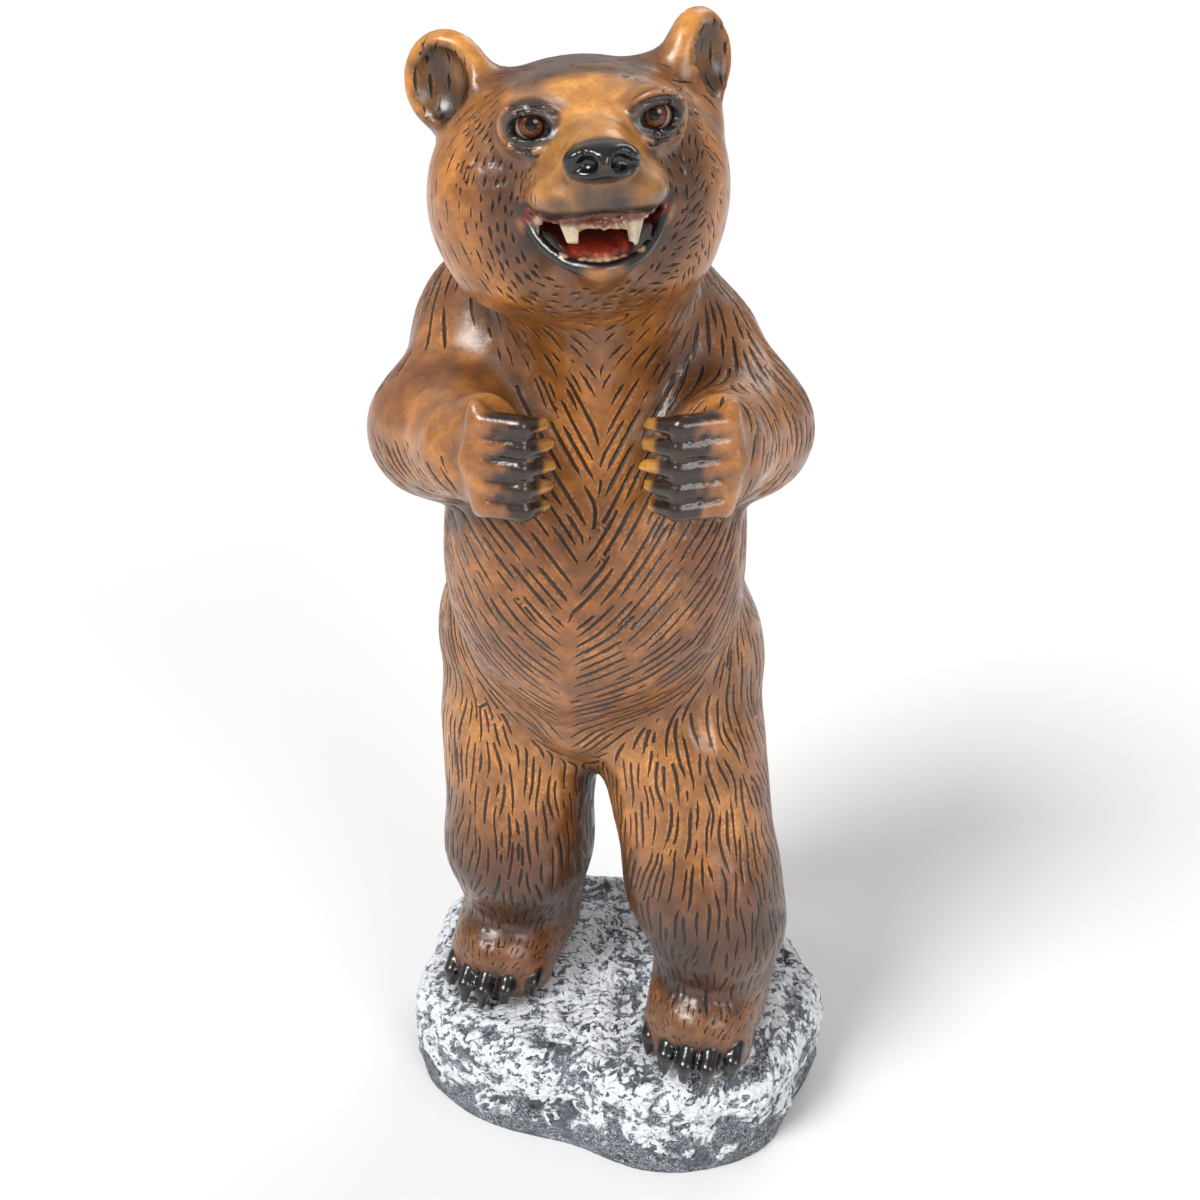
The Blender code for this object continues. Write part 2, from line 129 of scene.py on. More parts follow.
def turn_about(axis, degrees):
    return np.array(Matrix.Rotation(math.radians(degrees), 3, axis))


CHEST = turn_about("Z", CHEST_TURN)
HEAD = turn_about("Z", HEAD_TURN) @ turn_about("Y", HEAD_ROLL)


def in_chest(point):
    return CHEST @ np.array(point, float) + np.array(CHEST_ORIGIN)


def in_head(point):
    return HEAD @ np.array(point, float) + np.array(HEAD_ORIGIN)


def length(vectors):
    return np.sqrt(np.einsum("ij,ij->i", vectors, vectors))


def unit(vectors):
    return vectors / np.maximum(length(vectors), 1e-9)[:, None]


def ramp(low, high, values):
    """0 below low, 1 above high and smooth between. It runs down where high is below low."""
    share = np.clip((values - low) / (high - low), 0.0, 1.0)
    return share * share * (3.0 - 2.0 * share)


# Clay


class Ball:
    """An ellipsoid of clay."""

    def __init__(self, centre, radii, turn=None, blend=2.0, cuts=False):
        self.centre = np.array(centre, float)
        self.radii = np.array(radii, float)
        self.turn = np.eye(3) if turn is None else turn
        self.blend = blend
        self.cuts = cuts
        self.low = self.centre - self.radii.max()
        self.high = self.centre + self.radii.max()

    def distance(self, points):
        own = (points - self.centre) @ self.turn
        scaled = length(own / self.radii)
        slope = length(own / self.radii**2)
        return scaled * (scaled - 1.0) / np.maximum(slope, 1e-6)


class Bone:
    """A tapered round bar of clay between two points."""

    def __init__(self, start, end, start_radius, end_radius, blend=2.0, cuts=False):
        self.start = np.array(start, float)
        self.end = np.array(end, float)
        self.radii = (start_radius, end_radius)
        self.blend = blend
        self.cuts = cuts
        widest = max(self.radii)
        self.low = np.minimum(self.start, self.end) - widest
        self.high = np.maximum(self.start, self.end) + widest

    def distance(self, points):
        axis = self.end - self.start
        along = np.clip(((points - self.start) @ axis) / (axis @ axis), 0.0, 1.0)
        radius = self.radii[0] + (self.radii[1] - self.radii[0]) * along
        return length(points - self.start - along[:, None] * axis) - radius


def chain(points, radii, blend=2.0, cuts=False):
    """Bones end to end."""
    ends = zip(points, points[1:], radii, radii[1:])
    return [Bone(a, b, ra, rb, blend, cuts) for a, b, ra, rb in ends]


class Rope:
    """A round bar of clay along a smooth path."""

    def __init__(self, points, radius, blend=2.0, steps=5):
        p = np.array(points, float)
        p = np.concatenate([[2 * p[0] - p[1]], p, [2 * p[-1] - p[-2]]])
        path = []
        for a, b, c, d in zip(p, p[1:], p[2:], p[3:]):
            for share in np.linspace(0, 1, steps, endpoint=False):
                bend = (2 * a - 5 * b + 4 * c - d) * share**2 + (3 * b - a - 3 * c + d) * share**3
                path.append(0.5 * (2 * b + (c - a) * share + bend))
        path.append(p[-2])
        self.bones = chain(path, [radius] * len(path))
        self.blend = blend
        self.cuts = False
        self.low = np.min([bone.low for bone in self.bones], axis=0)
        self.high = np.max([bone.high for bone in self.bones], axis=0)

    def distance(self, points):
        return np.min([bone.distance(points) for bone in self.bones], axis=0)


def melted(clay, form, blend, cuts):
    """The clay with a form melted onto it, or cut out of it, over a fillet about as wide as blend."""
    if cuts:
        form = -form
        mix = np.clip(0.5 - 0.5 * (form - clay) / blend, 0.0, 1.0)
        return form + (clay - form) * mix + blend * mix * (1.0 - mix)
    mix = np.clip(0.5 + 0.5 * (form - clay) / blend, 0.0, 1.0)
    return form + (clay - form) * mix - blend * mix * (1.0 - mix)


def torso():
    belly = turn_about("Z", BELLY_TURN)
    return [
        Ball((-1.7, 3.5, 56.5), (22.2, 15.0, 19.5), blend=4.0),
        Ball((-12.0, 6.5, 51.0), (12.2, 11.0, 16.5), blend=5.0),
        Ball((8.6, 6.5, 51.0), (12.0, 11.0, 16.0), blend=5.0),
        Ball((0.0, 6.5, 72.0), (15.5, 10.5, 22.0), blend=5.0),
        Ball((0.2, -3.2, 70.0), (19.4, 15.8, 21.5), belly, blend=2.0),
        Bone((0.2, -3.0, 63.0), (-0.6, -8.2, 49.0), 16.0, 3.6, blend=4.0),
        Ball((-0.5, 1.0, 82.0), (18.6, 15.8, 23.0), CHEST, blend=5.0),
        Ball((-1.0, 5.5, 97.0), (14.5, 11.5, 13.5), CHEST, blend=6.0),
        Ball(in_chest((-12.2, 5.5, 97.5)), (10.0, 9.5, 12.0), CHEST, blend=5.0),
        Ball(in_chest((9.2, 5.5, 97.0)), (8.4, 9.5, 10.5), CHEST, blend=5.0),
        Ball(in_chest((-1.0, 7.5, 104.0)), (13.0, 9.0, 11.0), CHEST, blend=5.0),
        Bone((-0.5, 0.5, 100.0), (0.4, -4.5, 112.0), 12.5, 12.5, blend=4.0),
        Ball((0.5, 17.5, 50.0), (3.2, 4.2, 4.6), blend=2.0),
    ]


def leg(hip, knee, shin, foot, side):
    x, y = foot
    forms = chain([hip, knee, shin], [11.6, 10.3, 9.6], blend=3.0)
    forms.append(Bone(shin, (x, y + 3.0, 7.5), 8.9, 8.4, blend=2.6))
    for half in (-1, 1):
        edge = x + 2.4 * half
        forms.append(Bone((edge, y + 9.0, 4.2), (edge, y - 4.5, 3.7), 5.5, 5.4, blend=1.5))
    forms.append(Ball((x, y - 1.5, 7.2), (7.7, 9.2, 5.4), blend=2.0))
    claws = []
    for toe in range(5):
        across = (toe - 2) * 3.05
        toe_x = x + across
        toe_y = y - 8.4 + 0.09 * across**2 - 0.10 * side * across
        forms.append(Ball((toe_x, toe_y, 3.4), (1.8, 3.0, 3.1), blend=0.7))
        claw = [(toe_x, toe_y - 1.9, 4.9), (toe_x, toe_y - 3.5, 3.6), (toe_x, toe_y - 4.3, 1.1)]
        claws += chain(claw, [1.25, 1.3, 0.5], blend=0.3)
        forms += claws[-2:]
    return forms, claws


def arm(side, shoulder, elbow, wrist, knuckles, reach):
    bones = (shoulder, elbow, wrist)
    forms = chain([in_chest(p) for p in bones], [8.9, 7.7, 6.0], blend=4.0)
    u, v, top = knuckles
    palm = [(u + side * 1.8, v + 4.2, top - 2.2), (u + side * 1.6, v + 4.2, top - 7.4)]
    forms += chain([in_chest(p) for p in palm], [3.8, 3.7], blend=2.0)
    digits = []
    for digit in range(5):
        z = top - DIGIT_PITCH * digit
        fold = 0.35 * (digit - 1.8) ** 2
        root = (u + side * 1.4, v - 0.3, z)
        middle = (u - side * 0.45 * reach, v - 1.3, z - 0.2)
        tip = (u - side * (reach - 0.5 * fold), v + 0.8, z - 0.5)
        digits += chain([in_chest(p) for p in (root, middle, tip)], [1.35, 1.3, 0.6], blend=0.3)
    cuff = [(u + side * 2.4, v + 0.6, top + 1.4), (u + side * 3.1, v - 0.3, top - 4.2)]
    cuff.append((u + side * 2.2, v + 0.6, top - 10.2))
    cuffs = chain([in_chest(p) for p in cuff], [0.9, 1.1, 0.9], blend=1.2)
    return forms + digits + cuffs, digits, cuffs


def both(point, side):
    """A point of the right half of the head, or its mirror image on the left half."""
    return in_head((side * point[0], point[1], point[2]))


def head_masses():
    forms = [
        Ball(in_head((0, 2.0, 2.0)), (15.3, 14.0, 11.8), HEAD, blend=4.0),
        Ball(in_head((0, -5.5, 7.8)), (10.0, 6.0, 5.0), HEAD, blend=3.0),
        Ball(in_head((-0.6, -1.6, -7.2)), (13.4, 10.8, 6.6), HEAD, blend=1.5),
    ]
    for side, out, wide in ((-1, 8.3, 9.0), (1, 7.2, 8.6)):
        forms.append(Ball(both((out, -0.5, -0.8), side), (wide, 10.5, 10.6), HEAD, blend=3.0))
    forms += [
        Bone(in_head((8.0, 2.0, 3.0)), in_head((11.8, 2.5, 6.2)), 5.0, 4.2, blend=2.0),
        Bone(in_head((0, -7.5, 3.4)), in_head((0, -17.0, 5.2)), 7.6, 3.9, blend=2.5),
        Bone(in_head((0, -7.0, -4.0)), in_head((0, -14.6, -4.6)), 6.2, 2.7, blend=1.5),
    ]
    for side in SIDES:
        forms.append(Ball(both((3.2, -14.2, 2.6), side), (4.0, 5.8, 2.6), HEAD, blend=2.5))
    return forms


def nose():
    pad = [
        Ball(in_head((0, -20.2, 6.5)), (3.7, 2.6, 1.6), HEAD, blend=0.8),
        Ball(in_head((0, -20.5, 5.9)), (3.5, 2.3, 1.4), HEAD, blend=0.8),
    ]
    holes = []
    for side in SIDES:
        holes.append(Ball(both((1.75, -22.6, 6.3), side), (1.2, 1.6, 0.95), HEAD, blend=0.3, cuts=True))
        holes.append(Ball(both((3.0, -22.0, 5.9), side), (0.9, 1.4, 0.5), HEAD, blend=0.4, cuts=True))
    return pad, holes


def mouth():
    """The mouth's forms, by what they are."""
    made = {"cut": [], "tongue": [], "lip": [], "fang": [], "gum": [], "tooth": []}
    made["cut"].append(Ball(in_head((0, -15.2, -1.5)), (5.2, 6.6, 3.0), HEAD, blend=0.8, cuts=True))
    made["cut"].append(Ball(in_head((0, -11.5, -0.2)), (7.4, 3.6, 1.9), HEAD, blend=0.8, cuts=True))
    made["tongue"].append(Ball(in_head((0, -10.5, -3.7)), (3.2, 5.6, 1.6), HEAD, blend=0.6))
    edge = [(7.4, -10.0, 1.4), (6.9, -11.6, -0.8), (5.6, -13.7, -2.8), (3.2, -15.9, -4.4)]
    right, left = ([both(p, side) for p in edge] for side in SIDES)
    made["lip"].append(Rope(right + [both((0, -16.8, -5.1), 1)] + left[::-1], 0.6, blend=1.3))
    for side in SIDES:
        fang = [(3.3, -17.0, 0.6), (3.0, -17.5, -2.3)]
        gum = [(2.6, -17.6, 0.2), (0.0, -18.4, 0.05)]
        made["fang"] += chain([both(p, side) for p in fang], [1.1, 0.45], blend=0.3)
        made["gum"] += chain([both(p, side) for p in gum], [0.55, 0.55], blend=0.4)
        side_gum = [(3.4, -16.9, 0.3), (5.2, -14.9, 0.5), (6.8, -12.6, 0.9)]
        made["gum"] += chain([both(p, side) for p in side_gum], [0.55, 0.45, 0.3], blend=0.4)
        for i, share in enumerate((0.25, 0.5, 0.75)):
            low = both((3.6 + 3.2 * share, -16.6 + 4.0 * share, -0.5 + 0.5 * share), side)
            made["tooth"].append(Ball(low, (0.5, 0.5, 0.75 - 0.12 * i), HEAD, blend=0.15))
        small = [(3.9, -15.3, -3.9), (3.9, -15.5, -2.3)]
        made["tooth"] += chain([both(p, side) for p in small], [0.42, 0.2], blend=0.15)
        for i in range(3):
            x = 0.42 + 0.84 * i
            top = both((x, -18.6 + 0.1 * x * x, -0.7 + 0.04 * x * x), side)
            made["tooth"].append(Ball(top, (0.42, 0.42, 0.55), HEAD, blend=0.12))
            low = both((x, -16.3 + 0.09 * x * x, -4.25 + 0.07 * x * x), side)
            made["tooth"].append(Ball(low, (0.38, 0.35, 0.45), HEAD, blend=0.12))
    return made


def ring(centre, turn, across, up, bulge, radius, blend, steps=16):
    """A closed loop round an eye, bowed over the eyeball."""
    points = []
    for i in range(steps + 1):
        angle = 2 * math.pi * i / steps
        x, z = across * math.cos(angle), up * math.sin(angle)
        y = -math.sqrt(max(bulge**2 - x * x - 0.6 * z * z, 0.1))
        points.append(centre + turn @ np.array((x, y, z)))
    return [Rope(points, radius, blend, steps=2)]


def eyelids(side):
    """The lids, the eye's opening in them, and the fine folds round it."""
    eye = np.array(EYE_PLACES["eye_left" if side > 0 else "eye_right"])
    turn = HEAD @ turn_about("Z", side * 12.0)
    lids = in_head(eye + (0, 0.3, 0))
    opening = lids + turn @ np.array((0, -3.1, 0))
    centre = in_head(eye)
    socket = Ball(centre, (EYE_RADIUS / UNIT + 0.03,) * 3, HEAD, blend=0.05, cuts=True)
    folds = ring(centre, turn, 2.1, 1.42, 2.4, 0.27, 0.2)
    folds += ring(centre, turn, 2.95, 2.4, 2.95, 0.34, 0.4)
    return [
        Ball(lids, (3.4, 2.7, 2.9), turn, blend=2.2),
        Ball(opening, (2.5, 1.8, 1.4), turn, blend=0.25, cuts=True),
        *folds,
        socket,
    ]


def ear(side, facing, lift):
    turn = HEAD @ turn_about("Z", side * facing)
    centre = both((13.6, 3.0, 12.0 + lift), side)
    hollow = centre + turn @ np.array((0, -2.6, 0.2))
    root = both((9.5, 2.0, 8.0 + lift), side)
    inner = both((7.5, 1.5, 10.2 + lift), side)
    return [
        Bone(inner, centre, 2.2, 2.4, blend=2.5),
        Bone(root, centre, 4.0, 2.6, blend=3.0),
        Ball(centre, (5.2, 3.0, 5.4), turn, blend=1.5),
        Ball(hollow, (3.7, 2.9, 4.0), turn, blend=0.6, cuts=True),
    ]


TORSO = torso()
RIGHT_JOINTS = [(-12.2, 1.5, 43.0), (-11.6, -2.5, 24.0), (-12.2, -0.5, 19.0)]
LEFT_JOINTS = [(11.6, 1.0, 43.0), (16.6, -4.5, 25.0), (18.8, -5.2, 19.0)]
RIGHT_LEG, RIGHT_CLAWS = leg(*RIGHT_JOINTS, RIGHT_FOOT, -1)
LEFT_LEG, LEFT_CLAWS = leg(*LEFT_JOINTS, LEFT_FOOT, 1)
RIGHT_BONES = [(-12.6, 1.0, 96.0), (-18.4, -5.5, 89.5), (-13.6, -17.5, 91.6), (-9.8, -25.0, 97.2)]
LEFT_BONES = [(12.6, 1.0, 96.0), (18.3, -5.5, 89.5), (14.6, -17.5, 91.6), (12.6, -25.0, 97.2)]
RIGHT_ARM, RIGHT_DIGITS, RIGHT_CUFF = arm(-1, *RIGHT_BONES, RIGHT_REACH)
LEFT_ARM, LEFT_DIGITS, LEFT_CUFF = arm(1, *LEFT_BONES, LEFT_REACH)
HEAD_MASSES = head_masses()
NOSE, NOSTRILS = nose()
MOUTH = mouth()
LIDS = {side: eyelids(side) for side in SIDES}
EARS = {side: ear(side, facing, lift) for side, facing, lift in ((-1, 30.0, -0.2), (1, 50.0, 0.2))}


def bear_clay():
    """Every mass of the bear, in the order in which it is laid on."""
    forms = TORSO + RIGHT_LEG + LEFT_LEG + RIGHT_ARM + LEFT_ARM + HEAD_MASSES + NOSE + NOSTRILS
    for kind in ("cut", "tongue", "lip", "gum", "fang", "tooth"):
        forms = forms + MOUTH[kind]
    for side in SIDES:
        forms = forms + LIDS[side] + EARS[side]
    return forms


CLAY = bear_clay()


def near_form(form, points, reach):
    inside = np.ones(len(points), bool)
    for axis in range(3):
        along = points[:, axis]
        inside &= (along > form.low[axis] - reach) & (along < form.high[axis] + reach)
    return np.nonzero(inside)[0]


def reached(points):
    """For each form of the clay, the points that it may reach."""
    return [near_form(form, points, form.blend + 2.0) for form in CLAY]


def clay_distance(points, lists=None):
    """The distance from points near the surface to the bear's clay."""
    clay = np.full(len(points), FAR)
    for form, here in zip(CLAY, lists or reached(points)):
        if len(here):
            clay[here] = melted(clay[here], form.distance(points[here]), form.blend, form.cuts)
    return clay


def clay_normal(points, lists=None, step=0.12):
    lists = lists or reached(points)
    slopes = []
    for axis in range(3):
        shift = np.zeros(3)
        shift[axis] = step
        slopes.append(clay_distance(points + shift, lists) - clay_distance(points - shift, lists))
    return np.stack(slopes, axis=1) / (2 * step)


def settled(points, times):
    """The points moved onto the clay's surface."""
    points = points.copy()
    lists = reached(points)
    for _ in range(times):
        gap = clay_distance(points, lists)
        slope = clay_normal(points, lists)
        steep = np.maximum(length(slope), 0.4)
        step = np.clip(gap / steep, -0.35, 0.35)
        points -= slope / steep[:, None] * step[:, None]
    return points


# From clay to mesh


def distance_grid(forms, low, shape, cell):
    """The distance to the clay's surface on a grid of points."""
    grid = np.full(shape, FAR)
    for form in forms:
        reach = form.blend + 2.0 * cell
        first = np.clip(np.floor((form.low - reach - low) / cell).astype(int), 0, shape)
        last = np.clip(np.ceil((form.high + reach - low) / cell).astype(int) + 1, 0, shape)
        window = tuple(slice(a, b) for a, b in zip(first, last))
        if min(last - first) < 1:
            continue
        axes = [low[i] + cell * np.arange(first[i], last[i]) for i in range(3)]
        points = np.stack(np.meshgrid(*axes, indexing="ij"), axis=-1).reshape(-1, 3)
        near = form.distance(points).reshape(grid[window].shape)
        grid[window] = melted(grid[window], near, form.blend, form.cuts)
    return grid


def without_pinches(grid, cell):
    """Fills the points where two parts of the surface would meet only along an edge or at a corner."""
    grid = grid.copy()

    def part_of(values, offset, size):
        return values[tuple(slice(o, n - s + 1 + o) for o, n, s in zip(offset, values.shape, size))]

    def corners_of(size):
        return [(i, j, k) for i in range(size[0]) for j in range(size[1]) for k in range(size[2])]

    while True:
        solid = grid < 0
        pinch = np.zeros_like(solid)
        for size in ((2, 2, 1), (2, 1, 2), (1, 2, 2), (2, 2, 2)):
            corners = corners_of(size)
            count = sum(part_of(solid, c, size).astype(np.int8) for c in corners)
            for near in corners:
                far = tuple(n - 1 - c for n, c in zip(size, near))
                here = part_of(solid, near, size)
                there = part_of(solid, far, size)
                across = here & there & (count == 2)
                across |= ~here & ~there & (count == len(corners) - 2)
                for c in corners:
                    part_of(pinch, c, size)[...] |= across
        fill = pinch & ~solid
        if not fill.any():
            return grid
        grid[fill] = -0.05 * cell


def surface_net(grid, low, cell):
    """A point in each cell that the surface crosses, and a quad across each grid edge that it crosses."""
    inside = grid < 0
    cells = np.array(grid.shape) - 1
    corners = [(i, j, k) for i in (0, 1) for j in (0, 1) for k in (0, 1)]

    def corner(values, offset):
        return values[tuple(slice(o, o + n) for o, n in zip(offset, cells))]

    count = sum(corner(inside, c).astype(np.int8) for c in corners)
    crossed = np.argwhere((count > 0) & (count < 8))
    total = np.zeros((len(crossed), 3))
    crossings = np.zeros(len(crossed))
    for axis in range(3):
        for start in (c for c in corners if c[axis] == 0):
            end = np.array(start)
            end[axis] = 1
            here = grid[tuple((crossed + start).T)]
            there = grid[tuple((crossed + end).T)]
            cut = (here < 0) != (there < 0)
            share = here[cut] / (here[cut] - there[cut])
            at = np.tile(np.array(start, float), (cut.sum(), 1))
            at[:, axis] = share
            total[cut] += at
            crossings[cut] += 1
    points = low + cell * (crossed + total / crossings[:, None])
    index = np.full(cells, -1)
    index[tuple(crossed.T)] = np.arange(len(crossed))
    quads = []
    for axis in range(3):
        ahead = np.roll(np.arange(3), -axis)
        step = np.eye(3, dtype=int)[ahead]
        inner = [slice(1, n) for n in cells]
        inner[axis] = slice(0, cells[axis])
        here = inside[tuple(inner)]
        beyond = [slice(s.start + (a == axis), s.stop + (a == axis)) for a, s in enumerate(inner)]
        change = np.argwhere(here != inside[tuple(beyond)])
        change += [s.start for s in inner]
        rim = [change - step[1] - step[2], change - step[2], change, change - step[1]]
        quad = np.stack([index[tuple(r.T)] for r in rim], axis=1)
        out = inside[tuple(change.T)]
        quads.append(np.where(out[:, None], quad, quad[:, ::-1]))
    return points, np.concatenate(quads)


def triangles_of(points, quads):
    """Each quad cut along its shorter diagonal."""
    a, b, c, d = quads.T
    short = (length(points[a] - points[c]) <= length(points[b] - points[d]))[:, None]
    first = np.where(short, np.stack([a, b, c], 1), np.stack([a, b, d], 1))
    second = np.where(short, np.stack([a, c, d], 1), np.stack([b, c, d], 1))
    return np.concatenate([first, second])


def edges_of(faces):
    """Each edge once, and for each face the index of its three edges."""
    ends = np.stack([faces, np.roll(faces, -1, axis=1)], axis=2).reshape(-1, 2)
    ends = np.sort(ends, axis=1)
    key = ends[:, 0].astype(np.int64) * (faces.max() + 1) + ends[:, 1]
    _, first, index = np.unique(key, return_index=True, return_inverse=True)
    return ends[first], index.reshape(-1, 3)


def split_faces(faces, of_face, chosen, count):
    """The faces after each chosen edge is split by a new point. New points are numbered from count."""
    fresh = np.full(len(chosen), -1)
    fresh[chosen] = count + np.arange(chosen.sum())
    cut = fresh[of_face]
    marks = (cut >= 0).sum(axis=1)
    made = [faces[marks == 0]]
    for turn in range(3):
        a, b, c = np.roll(faces, -turn, axis=1).T
        ab, bc, ca = np.roll(cut, -turn, axis=1).T
        one = (marks == 1) & (ab >= 0)
        made.append(np.stack([a, ab, c], 1)[one])
        made.append(np.stack([ab, b, c], 1)[one])
        two = (marks == 2) & (ca < 0)
        made.append(np.stack([ab, b, bc], 1)[two])
        made.append(np.stack([a, ab, bc], 1)[two])
        made.append(np.stack([a, bc, c], 1)[two])
    a, b, c = faces.T
    ab, bc, ca = cut.T
    for corner in ((a, ab, ca), (ab, b, bc), (ca, bc, c), (ab, bc, ca)):
        made.append(np.stack(corner, 1)[marks == 3])
    return np.concatenate(made)


def refined(points, faces, target, times=4):
    """The mesh with each edge that is longer than its target split at its middle."""
    for _ in range(times):
        edges, of_face = edges_of(faces)
        middle = (points[edges[:, 0]] + points[edges[:, 1]]) / 2
        too_long = length(points[edges[:, 0]] - points[edges[:, 1]]) > target(middle)
        if not too_long.any():
            break
        faces = split_faces(faces, of_face, too_long, len(points))
        points = np.concatenate([points, middle[too_long]])
    return points, faces


def neighbour_mean(values, edges, count):
    total = np.zeros((count, values.shape[1]))
    for a, b in ((0, 1), (1, 0)):
        for axis in range(values.shape[1]):
            total[:, axis] += np.bincount(edges[:, a], values[edges[:, b], axis], count)
    degree = np.bincount(edges.ravel(), minlength=count)
    return total / np.maximum(degree, 1)[:, None]


def relaxed(points, faces, share):
    """The points evened out along the surface."""
    edges, _ = edges_of(faces)
    shift = (neighbour_mean(points, edges, len(points)) - points) * share
    normal = unit(clay_normal(points))
    return points + shift - normal * (shift * normal).sum(axis=1)[:, None]


def least(forms, points, reach=4.0):
    """The distance to the nearest of these forms."""
    best = np.full(len(points), FAR)
    for form in forms:
        here = near_form(form, points, reach)
        if len(here):
            best[here] = np.minimum(best[here], form.distance(points[here]))
    return best


def chest_place(points):
    return (points - np.array(CHEST_ORIGIN)) @ CHEST


def head_place(points):
    return (points - np.array(HEAD_ORIGIN)) @ HEAD


def face_radius(own):
    """The distance from the middle of the face, seen from the front."""
    return np.sqrt(own[:, 0] ** 2 + (own[:, 2] - 1.0) ** 2)


def wanted_edge(points):
    """The longest edge that the mesh may have at a point."""
    longest = np.full(len(points), LONGEST_EDGE)
    own = head_place(points)
    face = (own[:, 2] > -11) & (own[:, 1] < -5.5) & (own[:, 2] < 13) & (np.abs(own[:, 0]) < 12)
    longest[face] = 1.3 * FACE_EDGE
    paws = least(RIGHT_DIGITS + LEFT_DIGITS + RIGHT_CLAWS + LEFT_CLAWS, points, 1.0) < 0.8
    longest[paws] = 1.3 * PAW_EDGE
    centre = (own[:, 1] < -9.0) & (own[:, 2] > -6.8) & (own[:, 2] < 4.2) & (np.abs(own[:, 0]) < 8.5)
    longest[centre] = 1.3 * MOUTH_EDGE
    for place in EYE_PLACES.values():
        lids = length((own - np.array(place) - (0, -1.5, 0)) / (3.8, 3.0, 3.3)) < 1
        longest[lids] = 1.3 * LID_EDGE
    return longest


def bear_surface():
    laid = [form for form in CLAY if not form.cuts]
    low = np.min([form.low for form in laid], axis=0)
    high = np.max([form.high for form in laid], axis=0)
    low[2] = max(low[2], -2.0)
    low, high = low - 2 * CLAY_CELL, high + 2 * CLAY_CELL
    shape = tuple(np.ceil((high - low) / CLAY_CELL).astype(int) + 1)
    grid = without_pinches(distance_grid(CLAY, low, shape, CLAY_CELL), CLAY_CELL)
    points, quads = surface_net(grid, low, CLAY_CELL)
    faces = triangles_of(points, quads)
    points = settled(points, 1)
    points = settled(relaxed(points, faces, 0.6), 1)
    points, faces = refined(points, faces, wanted_edge)
    points = settled(relaxed(points, faces, 0.5), 2)
    points = settled(relaxed(points, faces, 0.3), 2)
    return points, faces


# Fur


def waves(points, scale, seed):
    """Smooth wandering values between about -1 and 1."""
    found = random.Random(seed)
    total = np.zeros(len(points))
    for _ in range(5):
        way = np.array([found.uniform(-1, 1) for _ in range(3)])
        way *= found.uniform(0.7, 1.4) / (scale * np.linalg.norm(way))
        total += np.sin(points @ way * 2 * math.pi + found.uniform(0, 6.3))
    return total / 2.6


def swayed(normals, degrees):
    """Down the surface, turned aside by so many degrees."""
    angle = np.radians(degrees)[:, None]
    return DOWN * np.cos(angle) + np.cross(normals, DOWN) * np.sin(angle)


def round_the_trunk(points):
    """Each point's angle about the trunk, and that angle from the middle of the belly and chest."""
    x, y, z = points.T
    turn = np.radians(BELLY_TURN * ramp(48, 66, z) + (CHEST_TURN - BELLY_TURN) * ramp(70, 88, z) - 1)
    around = np.arctan2(x + 0.4, -(y - 2.0))
    off = (around - turn + math.pi) % (2 * math.pi) - math.pi
    return around, off


def trunk_flow(points):
    """Down and inward to the middle in front, and straight down at the sides and behind."""
    z = points[:, 2]
    around, off = round_the_trunk(points)
    inward = -np.sign(off)[:, None] * np.stack([np.cos(around), np.sin(around), np.zeros_like(z)], 1)
    lean = 46 + 8 * ramp(62, 50, z) - 12 * ramp(80, 100, z)
    lean = lean * (1 - 0.85 * ramp(math.radians(38), math.radians(95), np.abs(off)))
    lean = np.radians(lean + 9 * waves(points, 26, 3))[:, None]
    return DOWN * np.cos(lean) + inward * np.sin(lean)


def leg_flow(points, normals, side):
    """Down the leg in waves, and forward over the foot."""
    z = points[:, 2]
    sway = 10 * waves(points, 13, 5 + side) + 12 * waves(points, 5.5, 8 + side)
    down = swayed(normals, sway + 5 * side * ramp(25, 45, z))
    foot = ramp(11.5, 9.0, z)[:, None]
    return down * (1 - foot) + np.array((0.0, -1.0, -0.35)) * foot


def arm_flow(points, normals, side, bones):
    """Down the arm, drawn towards the wrist."""
    elbow, wrist = in_chest(bones[1]), in_chest(bones[2])
    fore = unit((wrist - elbow)[None])[0]
    return swayed(normals, 10 * waves(points, 12, 11 + side)) + fore * (0.55 if side < 0 else 0.12)


def head_flow(points, own):
    """Round the face, in a herringbone on the cheekbones, and down behind the ears."""
    hx, hy, hz = own.T
    tangent = np.stack([hz, np.zeros_like(hx), -hx], 1) * np.where(hx >= 0, 1.0, -1.0)[:, None]
    radius = face_radius(own)
    tilt = np.radians(22 * waves(points, 9, 17))
    outward = np.stack([hx, np.zeros_like(hx), hz - 1.0], 1)
    bone = (hx > 5) & (np.abs(radius - 12.6) < 2.6) & (hy < -2)
    tilt = np.where(bone, np.sign(radius - 12.6) * np.radians(52), tilt)
    way = tangent * np.cos(tilt)[:, None] + unit(outward) * (length(tangent) * np.sin(tilt))[:, None]
    behind = ramp(-1.0, 5.0, hy)[:, None]
    return (unit(way + 1e-6) * (1 - behind) + DOWN * behind) @ HEAD.T


